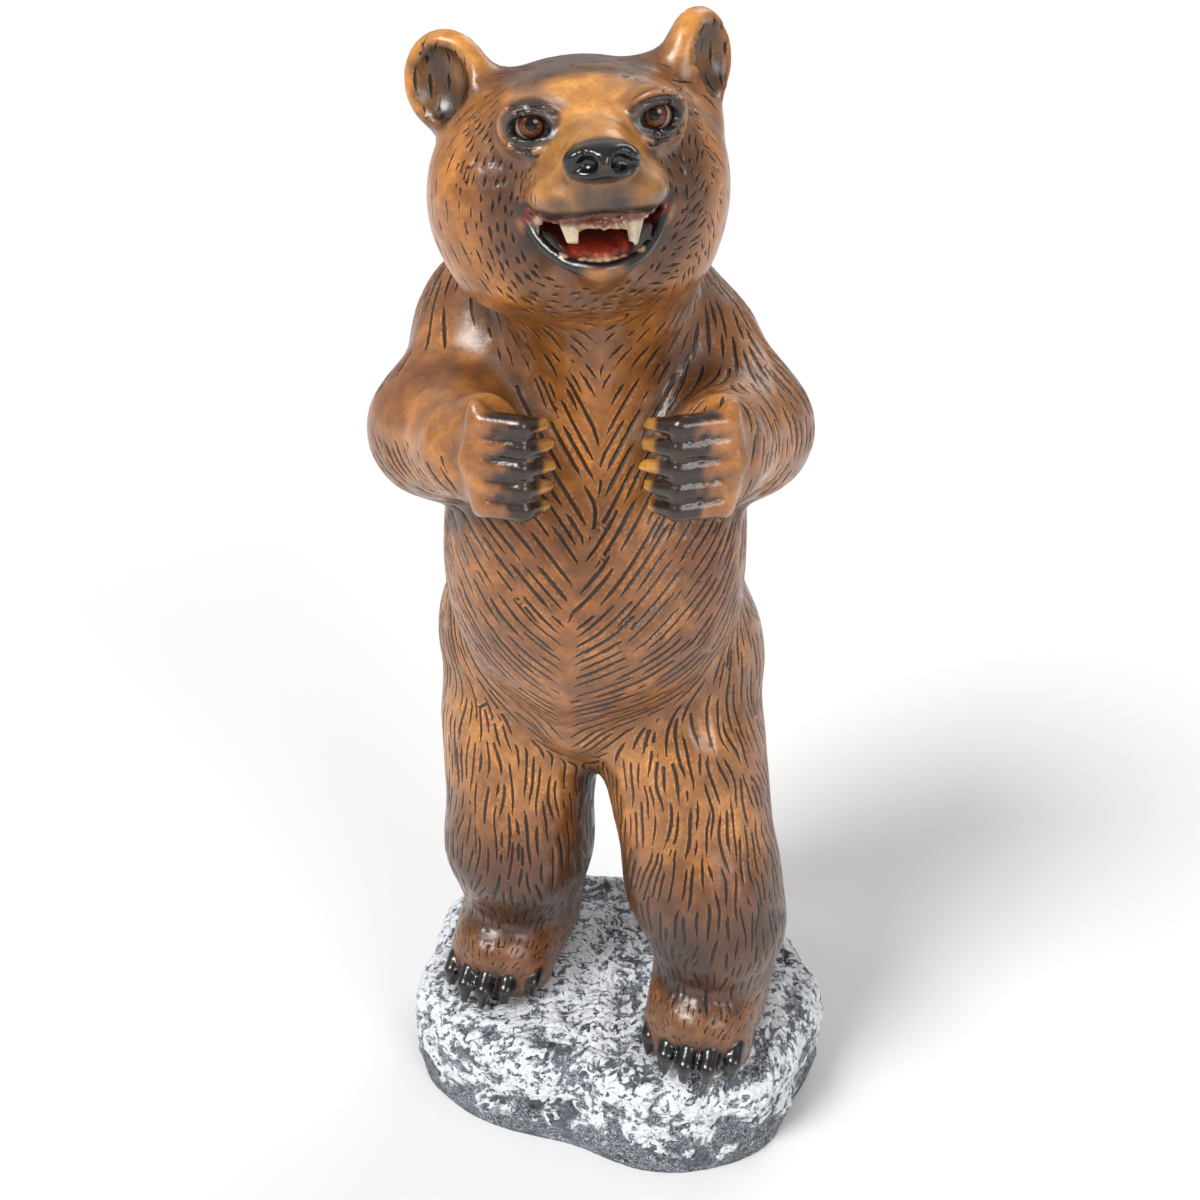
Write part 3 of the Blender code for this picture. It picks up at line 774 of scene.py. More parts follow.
def stroke_style(points, normals, own, part):
    """Columns of spacing, longest stroke, half width and depth. A spacing of 0 leaves a point smooth.
    part says how far each point belongs to each part of the body."""
    z = points[:, 2]
    local = chest_place(points)
    hx, hy, hz = own.T
    radius = face_radius(own)
    _, off = round_the_trunk(points)
    style = np.tile((1.02, 13.0, 0.18, STROKE_DEPTH), (len(points), 1))

    on_legs = part["right_leg"] + part["left_leg"] > 0.5
    style[on_legs, :3] = 0.95, 9.0, 0.17
    style[on_legs & (z < 22), 1] = 5.0
    style[on_legs & (z < 10.5), :3] = 0.66, 1.7, 0.14
    style[(least(RIGHT_CLAWS + LEFT_CLAWS, points, 3.0) < 0.7) | (z < 1.2), 0] = 0

    on_arms = part["right_arm"] + part["left_arm"] > 0.5
    style[on_arms, :3] = 1.05, 8.0, 0.2
    bib = (part["torso"] > 0.5) & (z > 95) & (np.abs(off) < math.radians(60))
    style[bib, 1:3] = 4.0, 0.17
    right = on_arms & (local[:, 0] < 0)
    style[right & (normals[:, 2] > 0.35), 0] = 3.2
    style[right & (normals[:, 2] > 0.1) & (local[:, 1] < -8), 0] = 0
    paws = least(RIGHT_DIGITS + LEFT_DIGITS + RIGHT_CUFF + LEFT_CUFF, points, 3.0) < 1.0
    style[paws | (on_arms & (local[:, 1] < -23.5)), 0] = 0

    on_head = part["head"] > 0.5
    style[on_head] = 1.5, 4.0, 0.12, 0.1
    style[on_head & (radius > 7.0) & (radius < 14.2) & (hy < -1) & (hz < 11)] = 0.66, 1.7, 0.15, 0.2
    style[on_head & (hz > 8.0) & (hy < 0) & (np.abs(hx) < 9), :3] = 1.2, 1.0, 0.1
    muzzle = on_head & (hy < -9.0) & (np.abs(hx) < 6.2) & (hz < 9.5) & (hz > -1.0)
    chin = on_head & (hy < -8.0) & (hz < 0) & (radius < 9.0)
    bridge = on_head & (hy < -7.0) & (np.abs(hx) < 3.5) & (hz > 5)
    style[muzzle | chin | bridge, 0] = 0
    for place in EYE_PLACES.values():
        style[length((own - np.array(place)) / (4.6, 5.0, 4.2)) < 1, 0] = 0
    for side in SIDES:
        shell, hollow = EARS[side][2:]
        style[(shell.distance(points) < 0.6) & ((normals @ shell.turn)[:, 1] < 0.3), 0] = 0
        style[hollow.distance(points) < 0.25] = 1.0, 2.6, 0.16, 0.1
    for forms in MOUTH.values():
        style[least(forms, points, 3.0) < 0.8, 0] = 0
    return style.T


def comb(points, normals):
    """For each point of the surface, the direction of the fur and the style of the strokes."""
    own = head_place(points)
    masses = {
        "torso": TORSO,
        "right_leg": RIGHT_LEG,
        "left_leg": LEFT_LEG,
        "right_arm": RIGHT_ARM,
        "left_arm": LEFT_ARM,
        "head": HEAD_MASSES + EARS[-1][:3] + EARS[1][:3],
    }
    gaps = {name: least(forms, points, 12.0) for name, forms in masses.items()}
    nearest = np.min(list(gaps.values()), axis=0)
    share = {name: np.exp(-(np.minimum(gap, 50) - nearest) / 0.9) for name, gap in gaps.items()}
    flows = {
        "torso": trunk_flow(points),
        "right_leg": leg_flow(points, normals, -1),
        "left_leg": leg_flow(points, normals, 1),
        "right_arm": arm_flow(points, normals, -1, RIGHT_BONES),
        "left_arm": arm_flow(points, normals, 1, LEFT_BONES),
        "head": head_flow(points, own),
    }
    flow = sum(share[name][:, None] * way for name, way in flows.items())
    flow -= normals * (flow * normals).sum(axis=1)[:, None]
    total = sum(share.values())
    part = {name: value / total for name, value in share.items()}
    return unit(flow + 1e-9), stroke_style(points, normals, own, part)


class Combing:
    """Lays strokes over the surface one after another, each clear of those already there."""

    def __init__(self, points, faces, flow, style):
        self.tree = BVHTree.FromPolygons(points.tolist(), faces.tolist())
        self.flow = unit(flow[faces].sum(axis=1)).tolist()
        self.style = [values[faces[:, 0]].tolist() for values in style]
        self.centres = points[faces].mean(axis=1).tolist()
        self.taken = {}
        self.strokes = []

    @staticmethod
    def bucket(p):
        return int(p[0] // BUCKET), int(p[1] // BUCKET), int(p[2] // BUCKET)

    def crowded(self, p, gap):
        cx, cy, cz = self.bucket(p)
        limit = gap * gap
        for i in (cx - 1, cx, cx + 1):
            for j in (cy - 1, cy, cy + 1):
                for k in (cz - 1, cz, cz + 1):
                    for q in self.taken.get((i, j, k), ()):
                        dx, dy, dz = q[0] - p[0], q[1] - p[1], q[2] - p[2]
                        if dx * dx + dy * dy + dz * dz < limit:
                            return True
        return False

    def grow(self, start, face, sign, most):
        """Steps from start along the flow, or against it, and returns the places."""
        path = []
        p = Vector(start)
        way = Vector(self.flow[face]) * sign
        first = way
        run = 0.0
        while run < most:
            spot, _, face, gap = self.tree.find_nearest(p + way * STROKE_STEP)
            if spot is None or gap > 0.5 * STROKE_STEP:
                break
            ahead = Vector(self.flow[face]) * sign
            spacing = self.style[0][face]
            turned = ahead.dot(way) < 0.88 or ahead.dot(first) < 0.45
            if spacing == 0 or turned or self.crowded(spot, 0.52 * spacing):
                break
            path.append(spot)
            p, way = spot, ahead
            run += STROKE_STEP
        return path

    def lay(self, face, least_share):
        """A stroke through this face, unless it would be shorter than a share of the longest."""
        spacing, longest, wide, deep = (values[face] for values in self.style)
        start = self.centres[face]
        if spacing == 0 or self.crowded(start, spacing):
            return
        most = longest * dice.uniform(max(least_share, 0.3), 1.0)
        share = dice.uniform(0.3, 0.7)
        back = self.grow(start, face, -1, most * share)
        path = back[::-1] + [Vector(start)] + self.grow(start, face, 1, most * (1 - share))
        if len(path) < max(least_share * longest / STROKE_STEP, 3 if longest > 2 else 2):
            return
        for q in path:
            self.taken.setdefault(self.bucket(q), []).append((q[0], q[1], q[2]))
        self.strokes.append((path, wide * dice.uniform(0.75, 1.25), deep * dice.uniform(0.7, 1.2)))


def samples_of(strokes):
    """Every stroke as close points: their place, direction, half width, depth and stroke number.
    The width falls below 0 past a stroke's ends."""
    places, ways, widths, depths, numbers = [], [], [], [], []
    for number, (path, wide, deep) in enumerate(strokes):
        p = np.array(path, float)
        if len(p) < 2:
            continue
        ends = np.concatenate([[2 * p[0] - p[1]], p, [2 * p[-1] - p[-2]]])
        legs = np.linalg.norm(np.diff(ends, axis=0), axis=1)
        run = np.concatenate([[0], np.cumsum(legs)])
        at = np.arange(0, run[-1], SAMPLE_STEP)
        spots = np.stack([np.interp(at, run, ends[:, i]) for i in range(3)], axis=1)
        total = run[-1] - 2 * STROKE_STEP
        along = at - STROKE_STEP
        taper = np.minimum(along / min(0.9, 0.4 * total), (total - along) / min(1.6, 0.5 * total))
        places.append(spots)
        ways.append(np.gradient(spots, axis=0))
        widths.append(wide * np.clip(taper, -1.0, 1.0))
        depths.append(deep * np.clip(taper, 0.0, 1.0))
        numbers.append(np.full(len(at), number))
    joined = [np.concatenate(part) for part in (places, ways, widths, depths, numbers)]
    joined[1] = unit(joined[1])
    return joined


class Strokes:
    """Finds the nearest stroke to a point."""

    def __init__(self, strokes):
        self.places, self.ways, self.widths, self.depths, self.numbers = samples_of(strokes)
        self.tree = KDTree(len(self.places))
        for i, place in enumerate(self.places.tolist()):
            self.tree.insert(place, i)
        self.tree.balance()

    def near(self, points, normals):
        """What is known of the stroke nearest to each point."""
        find = self.tree.find
        index = np.array([find(p)[1] for p in points.tolist()])
        place, way = self.places[index], self.ways[index]
        across = unit(np.cross(way, normals))
        gap = points - place
        signed = (gap * across).sum(axis=1)
        past = np.maximum(np.abs((gap * way).sum(axis=1)) - 0.6 * SAMPLE_STEP, 0)
        above = np.maximum(np.abs((gap * normals).sum(axis=1)) - 0.15, 0)
        return {
            "place": place,
            "way": way,
            "across": across,
            "signed": signed,
            "away": np.sqrt(signed**2 + past**2 + above**2),
            "width": self.widths[index],
            "depth": self.depths[index],
            "number": self.numbers[index],
        }


def crossings(points, edges, known):
    """Where the stroke nearest to an edge's first end passes between its ends, as a share of the
    edge, or -1 where it doesn't."""
    a, b = edges.T
    here = known["signed"][a]
    there = ((points[b] - known["place"][a]) * known["across"][a]).sum(axis=1)
    same = known["number"][a] == known["number"][b]
    there = np.where(same, known["signed"][b], there)
    share = np.abs(here) / np.maximum(np.abs(here) + np.abs(there), 1e-9)
    spot = points[a] + (points[b] - points[a]) * share[:, None]
    along = ((spot - known["place"][a]) * known["way"][a]).sum(axis=1)
    good = (here * there < 0) & (known["width"][a] > 0) & (np.abs(along) < 0.7)
    good &= (share > 0.06) & (share < 0.94)
    return np.where(good, share, -1.0)


def with_line_points(points, faces, normals, known):
    """The mesh with a point wherever a stroke's line crosses an edge."""
    edges, of_face = edges_of(faces)
    ahead = crossings(points, edges, known)
    back = crossings(points, edges[:, ::-1], known)
    chosen = (ahead > 0) | (back > 0)
    share = np.where(ahead > 0, ahead, 1 - back)[chosen][:, None]
    owner = np.where(ahead > 0, edges[:, 0], edges[:, 1])[chosen]
    a, b = edges[chosen].T
    faces = split_faces(faces, of_face, chosen, len(points))
    spots = points[a] * (1 - share) + points[b] * share
    points = np.concatenate([points, spots])
    normals = unit(np.concatenate([normals, normals[a] * (1 - share) + normals[b] * share]))
    fresh = {name: values[owner] for name, values in known.items()}
    fresh["place"] = spots
    fresh["signed"] = np.zeros(len(spots))
    fresh["away"] = np.zeros(len(spots))
    known = {name: np.concatenate([values, fresh[name]]) for name, values in known.items()}
    return points, faces, normals, known


def with_middles(points, faces, normals, known, strokes):
    """The mesh with a point in the middle of edges that join two strokes across bare surface."""
    edges, of_face = edges_of(faces)
    a, b = edges.T
    nearer = np.minimum(known["away"][a], known["away"][b])
    sum_away = known["away"][a] + known["away"][b]
    doubt = (known["number"][a] != known["number"][b]) & (nearer < 0.3) & (sum_away < 0.8)
    doubt &= np.maximum(known["width"][a], known["width"][b]) > 0
    doubt &= length(points[a] - points[b]) > 0.34
    spots = np.nonzero(doubt)[0]
    middle = (points[a[spots]] + points[b[spots]]) / 2
    upright = unit(normals[a[spots]] + normals[b[spots]])
    found = strokes.near(middle, upright)
    wrong = found["away"] > sum_away[spots] / 2 + 0.12
    chosen = np.zeros(len(edges), bool)
    chosen[spots[wrong]] = True
    faces = split_faces(faces, of_face, chosen, len(points))
    points = np.concatenate([points, middle[wrong]])
    normals = np.concatenate([normals, upright[wrong]])
    known = {name: np.concatenate([values, found[name][wrong]]) for name, values in known.items()}
    return points, faces, normals, known


def stroked(points, faces, normals, strokes):
    """The mesh with points laid along each stroke's line, and what is known of the stroke nearest
    to each point."""
    known = strokes.near(points, normals)
    edges, _ = edges_of(faces)
    spans = length(points[edges[:, 0]] - points[edges[:, 1]])
    total = sum(np.bincount(edges[:, i], spans, len(points)) for i in (0, 1))
    typical = total / np.maximum(np.bincount(edges.ravel(), minlength=len(points)), 1)
    on_line = (known["away"] < 0.3 * typical) & (known["width"] > 0)
    points = points - known["across"] * (known["signed"] * on_line)[:, None]
    known["signed"][on_line] = 0
    known["away"][on_line] = 0
    known["place"][on_line] = points[on_line]
    for _ in range(2):
        points, faces, normals, known = with_line_points(points, faces, normals, known)

    true = strokes.near(points, normals)
    false = true["away"] > known["away"] + 0.12
    for name, values in known.items():
        values[false] = true[name][false]
    for _ in range(3):
        points, faces, normals, known = with_middles(points, faces, normals, known, strokes)
    return points, faces, normals, known


def grooved(points, faces):
    """The surface with its fur pressed in, and what the paint needs to know of the strokes."""
    normals = unit(clay_normal(points))
    flow, style = comb(points, normals)
    combing = Combing(points, faces, flow, style)
    order = list(range(len(faces)))
    dice.shuffle(order)
    for face in order[::4]:
        combing.lay(face, 0.5)
    for face in order[1::2]:
        combing.lay(face, 0.0)
    strokes = Strokes(combing.strokes)
    points, faces, normals, known = stroked(points, faces, normals, strokes)
    away, width, depth = known["away"], known["width"], known["depth"]
    press = depth * np.exp(-((away / GROOVE_SPREAD) ** 2)) * np.clip(width / 0.1, 0, 1)
    sunk = points - normals * press[:, None]
    lock = np.array([dice.uniform(0.8, 1.2) for _ in combing.strokes])[known["number"]]
    return points, sunk, faces, normals, np.stack([away, width, lock], axis=1)


# Paint


def tone(red, green, blue):
    """A screen colour from 0 to 255 as linear light."""
    share = np.array((red, green, blue)) / 255
    return np.where(share < 0.04, share / 12.92, ((share + 0.055) / 1.055) ** 2.4)


BROWN = tone(128, 76, 36)
TAN = tone(162, 106, 56)
GOLD = tone(198, 126, 50)
OCHRE = tone(222, 154, 80)
# Dark umber: real umber wash round the strokes and on the shins, and also painted shade in folds and on
# the lower legs
UMBER_PAINT_AND_SHADE = tone(62, 36, 20)
# Near-black: real black paint on fists, ear hollows, grooves and specks, and also painted shade in the
# deepest folds and between the digits
BLACK_PAINT_AND_SHADE = tone(26, 19, 16)
SLATE = tone(62, 58, 58)
ASH = tone(104, 92, 88)
LIP = tone(66, 56, 52)
BLACK = tone(12, 11, 12)
GUM = tone(132, 60, 36)
TONGUE = tone(182, 66, 44)
IVORY = tone(232, 214, 180)
TIP = tone(190, 132, 52)


class Paint:
    """Colours and varnish brushed over one another on the points of the bear."""

    def __init__(self, ground, rough, count):
        self.colour = np.tile(ground, (count, 1))
        self.rough = np.full(count, rough)

    def brush(self, colour, share):
        share = np.clip(share, 0.0, 1.0)[:, None]
        self.colour = self.colour * (1 - share) + colour * share

    def varnish(self, rough, share):
        self.rough = self.rough * (1 - share) + rough * share


class Spots:
    """What the brush needs to know of each point: where it is and how open it lies."""

    def __init__(self, points, normals):
        self.points = points
        self.own = head_place(points)
        self.chest = chest_place(points)
        self.cloud = waves(points, 14, 21)
        self.fine = waves(points, 5, 22)
        self.head_gap = least(HEAD_MASSES, points, 8.0)
        self.on_head = ramp(1.6, 0.2, self.head_gap)
        # How closed in each point lies among the clay around it, a painted ambient occlusion that drives
        # painted shade in folds and creases
        self.shade = np.clip(1 - clay_distance(points + normals * 1.3) / 1.3, 0, 1)
        self.shade_far = np.clip(1 - clay_distance(points + normals * 3.5) / 3.5, 0, 1)
        self.ridge = np.clip(clay_distance(points - normals) + 1.0, 0, 1)


def paint_coat(at, paint):
    """The browns of the body, from the pale arms down to the dark shins, darkened partly with umber paint
    and partly with painted shade.
    """
    y, z = at.points[:, 1], at.points[:, 2]
    paint.brush(TAN, 0.45 + 0.4 * at.cloud)
    paint.brush(GOLD, 0.22 * ramp(0.1, 1.0, at.fine + 0.6 * at.cloud))
    front = ramp(-8, -13, at.chest[:, 1]) * ramp(78, 88, z) * ramp(112, 104, z)
    paint.brush(GOLD, 0.55 * front * ramp(14, 8, np.abs(at.chest[:, 0])))
    arms = least(RIGHT_ARM + LEFT_ARM, at.points, 6.0)
    torso_gap = least(TORSO, at.points, 6.0)
    arm_share = ramp(1.0, -0.6, arms) * ramp(-1.5, 1.0, np.minimum(torso_gap, at.head_gap) + 0.2)
    paint.brush(tone(224, 150, 76), 0.55 * arm_share)
    # Darker lower legs: part umber paint, part painted shade for the light that falls off towards the
    # feet
    paint.brush(UMBER_PAINT_AND_SHADE, 0.95 * ramp(38, 22, z) * ramp(8.5, 12, z) * (0.9 + 0.2 * at.cloud))
    thigh = ramp(56, 46, z) * ramp(30, 40, z) * ramp(-3, -7, y)
    paint.brush(OCHRE, 0.4 * thigh * (0.8 + 0.4 * at.cloud))
    paint.brush(tone(120, 76, 42), 0.85 * ramp(11, 8.5, z))


def paint_head(at, paint):
    """Dark cheeks and crown, and a pale brow, bridge, muzzle and chin."""
    hx, hy, hz = at.own.T
    radius = face_radius(at.own)
    paint.brush(tone(140, 88, 46), 0.7 * at.on_head)
    edge = ramp(11.5, 14.5, radius) * ramp(6, -2, hy)
    mask = ramp(6.0, 8.0, radius) * ramp(13.0, 10.5, radius) * ramp(-1, -5, hy)
    brow = ramp(8.2, 10.0, hz) * ramp(14.5, 11.5, hz) * ramp(-3, -7, hy) * ramp(9.5, 6, np.abs(hx))
    crown = ramp(10.6, 12.6, hz)
    bridge = ramp(-6, -9, hy) * ramp(5.5, 3.2, np.abs(hx)) * ramp(2.0, 4.5, hz)
    muzzle = ramp(-9.5, -12, hy) * ramp(-0.5, 1.5, hz) * ramp(8, 6, np.abs(hx))
    chin = ramp(-8, -12, hy) * ramp(-3.5, -5.0, hz) * ramp(8, 5, np.abs(hx))
    for colour, strength, share in (
        (GOLD, 0.7, edge),
        (tone(92, 54, 30), 0.85, mask),
        (OCHRE, 0.75, brow),
        (tone(84, 50, 26), 0.9, crown),
        (OCHRE, 0.85, bridge),
        (OCHRE, 0.8, muzzle),
        (TAN, 0.5, chin),
    ):
        paint.brush(colour, at.on_head * strength * share)
    for side in SIDES:
        shell, hollow = EARS[side][2:]
        local = (at.points - shell.centre) @ shell.turn
        on_ear = ramp(0.8, -0.2, shell.distance(at.points)) * ramp(-2, 0.5, local[:, 2] + 2)
        paint.brush(tone(226, 152, 68), 0.95 * on_ear)
        inside = ramp(0.5, -0.1, hollow.distance(at.points))
        paint.brush(BLACK_PAINT_AND_SHADE, inside * (0.78 + 0.25 * at.fine))


def paint_shade(at, paint):
    """Painted shade dark in the folds and creases, worn pale on the ridges, and a grey throat."""
    z = at.points[:, 2]
    # Painted shade: umber and near-black brushed where the clay closes round a point, as shade falls in
    # folds
    paint.brush(UMBER_PAINT_AND_SHADE, 1.1 * at.shade_far * (1 - 0.4 * at.on_head))
    paint.brush(BLACK_PAINT_AND_SHADE, 1.15 * ramp(0.15, 0.9, at.shade))
    paint.brush(OCHRE, 0.35 * ramp(0.25, 0.8, at.ridge) * (1 - at.shade))
    throat = ramp(-7, -11, at.chest[:, 1]) * ramp(99, 103, z) * ramp(110, 105, z)
    paint.brush(SLATE, 0.5 * throat * ramp(-0.2, 0.7, at.cloud))


def paint_eyes(at, paint):
    """Dark lids with a black rim."""
    for side, place in zip(SIDES, EYE_PLACES.values()):
        around = length((at.own - np.array(place) - (0, 0, 0.1)) / (3.2, 4.6, 2.65))
        paint.brush(tone(58, 44, 38), 0.88 * ramp(1.08, 0.9, around))
        paint.brush(ASH, 0.35 * ramp(0.95, 0.8, around) * ramp(0.1, 0.5, at.ridge))
        paint.brush(BLACK, ramp(0.3, 0.08, LIDS[side][1].distance(at.points)))
        paint.rough = np.where(around < 1, 0.3, paint.rough)


def paint_mouth(at, paint):
    """The grey lips, the black nose, and all that is in the mouth."""
    hx, hy, hz = at.own.T
    wide = np.abs(hx)
    over = ramp(-0.5, 0.3, hz)
    lip = ramp(-11.5, -14.5, hy) * ramp(3.8, 2.4, hz) * over * ramp(7.6, 5.6, wide)
    under = ramp(-16.0, -18.8, hy) * ramp(5.6, 3.2, hz) * over * ramp(5.4, 1.4, wide)
    paint.brush(LIP, 0.85 * np.maximum(lip * (0.8 + 0.3 * at.fine), under))
    lip_edge = ramp(-10.0, -12.0, hy) * ramp(1.9, 1.2, hz) * over * ramp(9.0, 8.0, wide)
    paint.brush(BLACK, 0.9 * lip_edge)
    pad = ramp(0.45, 0.05, least(NOSE, at.points, 2.0)) * ramp(-17.6, -18.4, hy)
    paint.brush(BLACK, pad)
    paint.varnish(0.08, pad)
    inside = ramp(0.55, 0.1, least(MOUTH["cut"], at.points, 2.0)) * ramp(-8, -9, hy)
    paint.brush(tone(30, 20, 20), inside)
    paint.brush(tone(120, 40, 28), 0.85 * inside * ramp(-15.8, -13.0, hy))
    for kind, colour, gloss in (
        ("lip", tone(38, 32, 32), 0.26),
        ("tongue", TONGUE, 0.25),
        ("gum", GUM, 0.25),
        ("fang", IVORY, 0.2),
        ("tooth", tone(206, 172, 138), 0.24),
    ):
        share = ramp(0.22, 0.04, least(MOUTH[kind], at.points, 2.0))
        paint.brush(colour, share)
        paint.varnish(gloss, share)
    paint.brush(GUM, ramp(0.25, 0.05, least(MOUTH["fang"], at.points, 2.0)) * ramp(-0.3, 0.2, hz))


def paint_paws(at, paint):
    """Black claws, and black fists with brown streaks between the digits, painted shade in the valleys
    between them, and ochre tips.
    """
    for forms in (RIGHT_CLAWS, LEFT_CLAWS):
        claw = ramp(0.25, 0.05, least(forms, at.points, 2.0))
        paint.brush(BLACK, claw)
        paint.brush(tone(96, 62, 40), 0.25 * claw * ramp(0.4, 1.0, at.fine))
        paint.varnish(0.14, claw)
    for side, digits, bones, reach in (
        (-1, RIGHT_DIGITS, RIGHT_BONES, RIGHT_REACH),
        (1, LEFT_DIGITS, LEFT_BONES, LEFT_REACH),
    ):
        knuckle_x, _, top = bones[3]
        on = ramp(0.3, 0.05, least(digits, at.points, 2.0))
        out = (at.chest[:, 0] - knuckle_x) * -side
        paint.brush(tone(150, 96, 62), on * ramp(-3, 0, out) * 0.8)
        # Painted shade in the valleys between the digits, darkest where they meet
        valley = 0.5 - 0.5 * np.cos(2 * math.pi * (top - 0.2 - at.points[:, 2]) / DIGIT_PITCH)
        streak = 0.9 * waves(at.points, 2.6, 31 + side)
        valley_shade = ramp(0.72, 0.95, valley) * ramp(-2, -0.5, out)
        paint.brush(BLACK_PAINT_AND_SHADE, on * np.maximum(ramp(-0.6, 1.2, out + streak), valley_shade) * 0.95)
        paint.brush(TIP, on * ramp(reach - 1.5, reach - 0.8, out + 0.3 * at.fine))
        paint.varnish(0.22, on)
    cuffs = ramp(0.3, 0.0, least(RIGHT_CUFF + LEFT_CUFF, at.points, 2.0))
    paint.brush(tone(176, 120, 84), 0.5 * cuffs)


def painted(points, normals):
    """The colour and the roughness of the varnish at each point of the bear."""
    at = Spots(points, normals)
    paint = Paint(BROWN, 0.34, len(points))
    for step in (paint_coat, paint_head, paint_shade, paint_eyes, paint_mouth, paint_paws):
        step(at, paint)
    return np.clip(paint.colour, 0.002, 1), paint.rough


class Nodes:
    """Short calls for building a material's node tree."""

    def __init__(self, name):
        self.material = bpy.data.materials.new(name)
        self.material.use_nodes = True
        self.tree = self.material.node_tree
        self.shader = self.tree.nodes["Principled BSDF"]

    def join(self, socket, value):
        if isinstance(value, bpy.types.NodeSocket):
            self.tree.links.new(value, socket)
        else:
            socket.default_value = value

    def set(self, **values):
        for name, value in values.items():
            self.join(self.shader.inputs[name.replace("_", " ")], value)

    def attribute(self, name, output="Fac"):
        node = self.tree.nodes.new("ShaderNodeAttribute")
        node.attribute_name = name
        return node.outputs[output]

    def math(self, operation, a, b=0.5, c=0.5, clamp=False):
        node = self.tree.nodes.new("ShaderNodeMath")
        node.operation = operation
        node.use_clamp = clamp
        for socket, value in zip(node.inputs, (a, b, c)):
            self.join(socket, value)
        return node.outputs[0]

    def times(self, a, b):
        return self.math("MULTIPLY", a, b)

    def ramp(self, value, low, high, start=0.0, end=1.0):
        node = self.tree.nodes.new("ShaderNodeMapRange")
        node.interpolation_type = "SMOOTHSTEP"
        for socket, item in zip(node.inputs, (value, low, high, start, end)):
            self.join(socket, item)
        return node.outputs[0]

    def mix(self, share, a, b, blend="MIX"):
        node = self.tree.nodes.new("ShaderNodeMix")
        node.data_type = "RGBA"
        node.blend_type = blend
        self.join(node.inputs[0], share)
        self.join(node.inputs[6], a if isinstance(a, bpy.types.NodeSocket) else (*a, 1.0))
        self.join(node.inputs[7], b if isinstance(b, bpy.types.NodeSocket) else (*b, 1.0))
        return node.outputs[2]

    def noise(self, scale, detail=2.0, rough=0.5, distortion=0.0, stretch=None):
        node = self.tree.nodes.new("ShaderNodeTexNoise")
        node.inputs["Scale"].default_value = scale
        node.inputs["Detail"].default_value = detail
        node.inputs["Roughness"].default_value = rough
        node.inputs["Distortion"].default_value = distortion
        where = self.tree.nodes.new("ShaderNodeTexCoord").outputs["Object"]
        if stretch is not None:
            mapping = self.tree.nodes.new("ShaderNodeMapping")
            mapping.inputs["Scale"].default_value = stretch
            self.join(mapping.inputs["Vector"], where)
            where = mapping.outputs["Vector"]
        self.join(node.inputs["Vector"], where)
        return node.outputs["Fac"]

    def split(self, vector):
        node = self.tree.nodes.new("ShaderNodeSeparateXYZ")
        self.join(node.inputs[0], vector)
        return node.outputs

    def bump(self, height, distance, strength=1.0):
        node = self.tree.nodes.new("ShaderNodeBump")
        node.inputs["Strength"].default_value = strength
        node.inputs["Distance"].default_value = distance
        self.join(node.inputs["Height"], height)
        self.join(self.shader.inputs["Normal"], node.outputs["Normal"])


def fur_paint():
    """Brown paint, black rubbed into the strokes, pale rims beside them that are part dry brush and part
    painted highlight, and a satin varnish over it.
    """
    make = Nodes("painted_fur")
    away, width, lock = make.split(make.attribute("stroke", "Vector"))[:3]
    wobble = make.math("MULTIPLY_ADD", make.noise(260.0, 2.0), 0.12, -0.06)
    inner = make.math("DIVIDE", make.math("ADD", away, wobble), make.math("MAXIMUM", width, 0.01))
    there = make.ramp(width, 0.0, 0.03)
    groove = make.times(make.ramp(inner, 1.15, 0.55), there)
    hollow = make.times(make.ramp(inner, 1.5, 0.0), there)
    stain = make.times(make.ramp(inner, 2.6, 0.9), there)
    tint = make.attribute("tint", "Color")
    mottle = make.noise(42.0, 4.0, 0.6)
    grain = make.noise(230.0, 3.0, 0.6)
    shade = make.ramp(make.math("MULTIPLY_ADD", grain, 0.35, mottle), 0.45, 0.9)
    colour = make.mix(shade, make.mix(1.0, tint, (0.62, 0.58, 0.55), "MULTIPLY"), tint)
    # Pale rims beside each groove: dry-brushed paint and a painted highlight where the varnish catches
    # the light on a stroke's edge
    crest = make.times(make.ramp(inner, 1.2, 1.7), make.ramp(inner, 3.0, 2.0))
    crest = make.times(crest, make.times(there, make.ramp(grain, 0.4, 0.6)))
    pale = make.mix(1.0, tint, (1.35, 1.3, 1.2), "MULTIPLY")
    colour = make.mix(make.times(make.ramp(mottle, 0.52, 0.7), 0.35), colour, pale)
    colour = make.mix(make.times(stain, 0.25), colour, UMBER_PAINT_AND_SHADE * 0.6)
    dry_brush_and_highlight = make.mix(1.0, tint, (2.1, 1.95, 1.8), "MULTIPLY")
    colour = make.mix(make.times(crest, 0.5), colour, dry_brush_and_highlight)
    speck = make.ramp(make.noise(520.0, 1.0), 0.72, 0.78)
    colour = make.mix(make.times(speck, 0.5), colour, BLACK_PAINT_AND_SHADE)
    colour = make.mix(make.times(groove, 0.93), colour, BLACK_PAINT_AND_SHADE * 0.75)
    rough = make.attribute("varnish")
    rough = make.math("MULTIPLY_ADD", grain, 0.16, make.math("SUBTRACT", rough, 0.08))
    height = make.math("MULTIPLY_ADD", hollow, -1.0, make.times(grain, 0.12))
    height = make.math("MULTIPLY_ADD", mottle, 0.35, height)
    make.bump(height, 0.0026, 1.0)
    make.set(Base_Color=colour, Roughness=rough, Coat_Weight=0.5, Coat_Roughness=0.3)
    return make.material


def added(name, data):
    """A new object in the scene."""
    made = bpy.data.objects.new(name, data)
    bpy.context.scene.collection.objects.link(made)
    return made


def mesh_of(name, points, faces):
    mesh = bpy.data.meshes.new(name)
    mesh.from_pydata(points.tolist(), [], faces)
    mesh.update()
    mesh.shade_smooth()
    return mesh


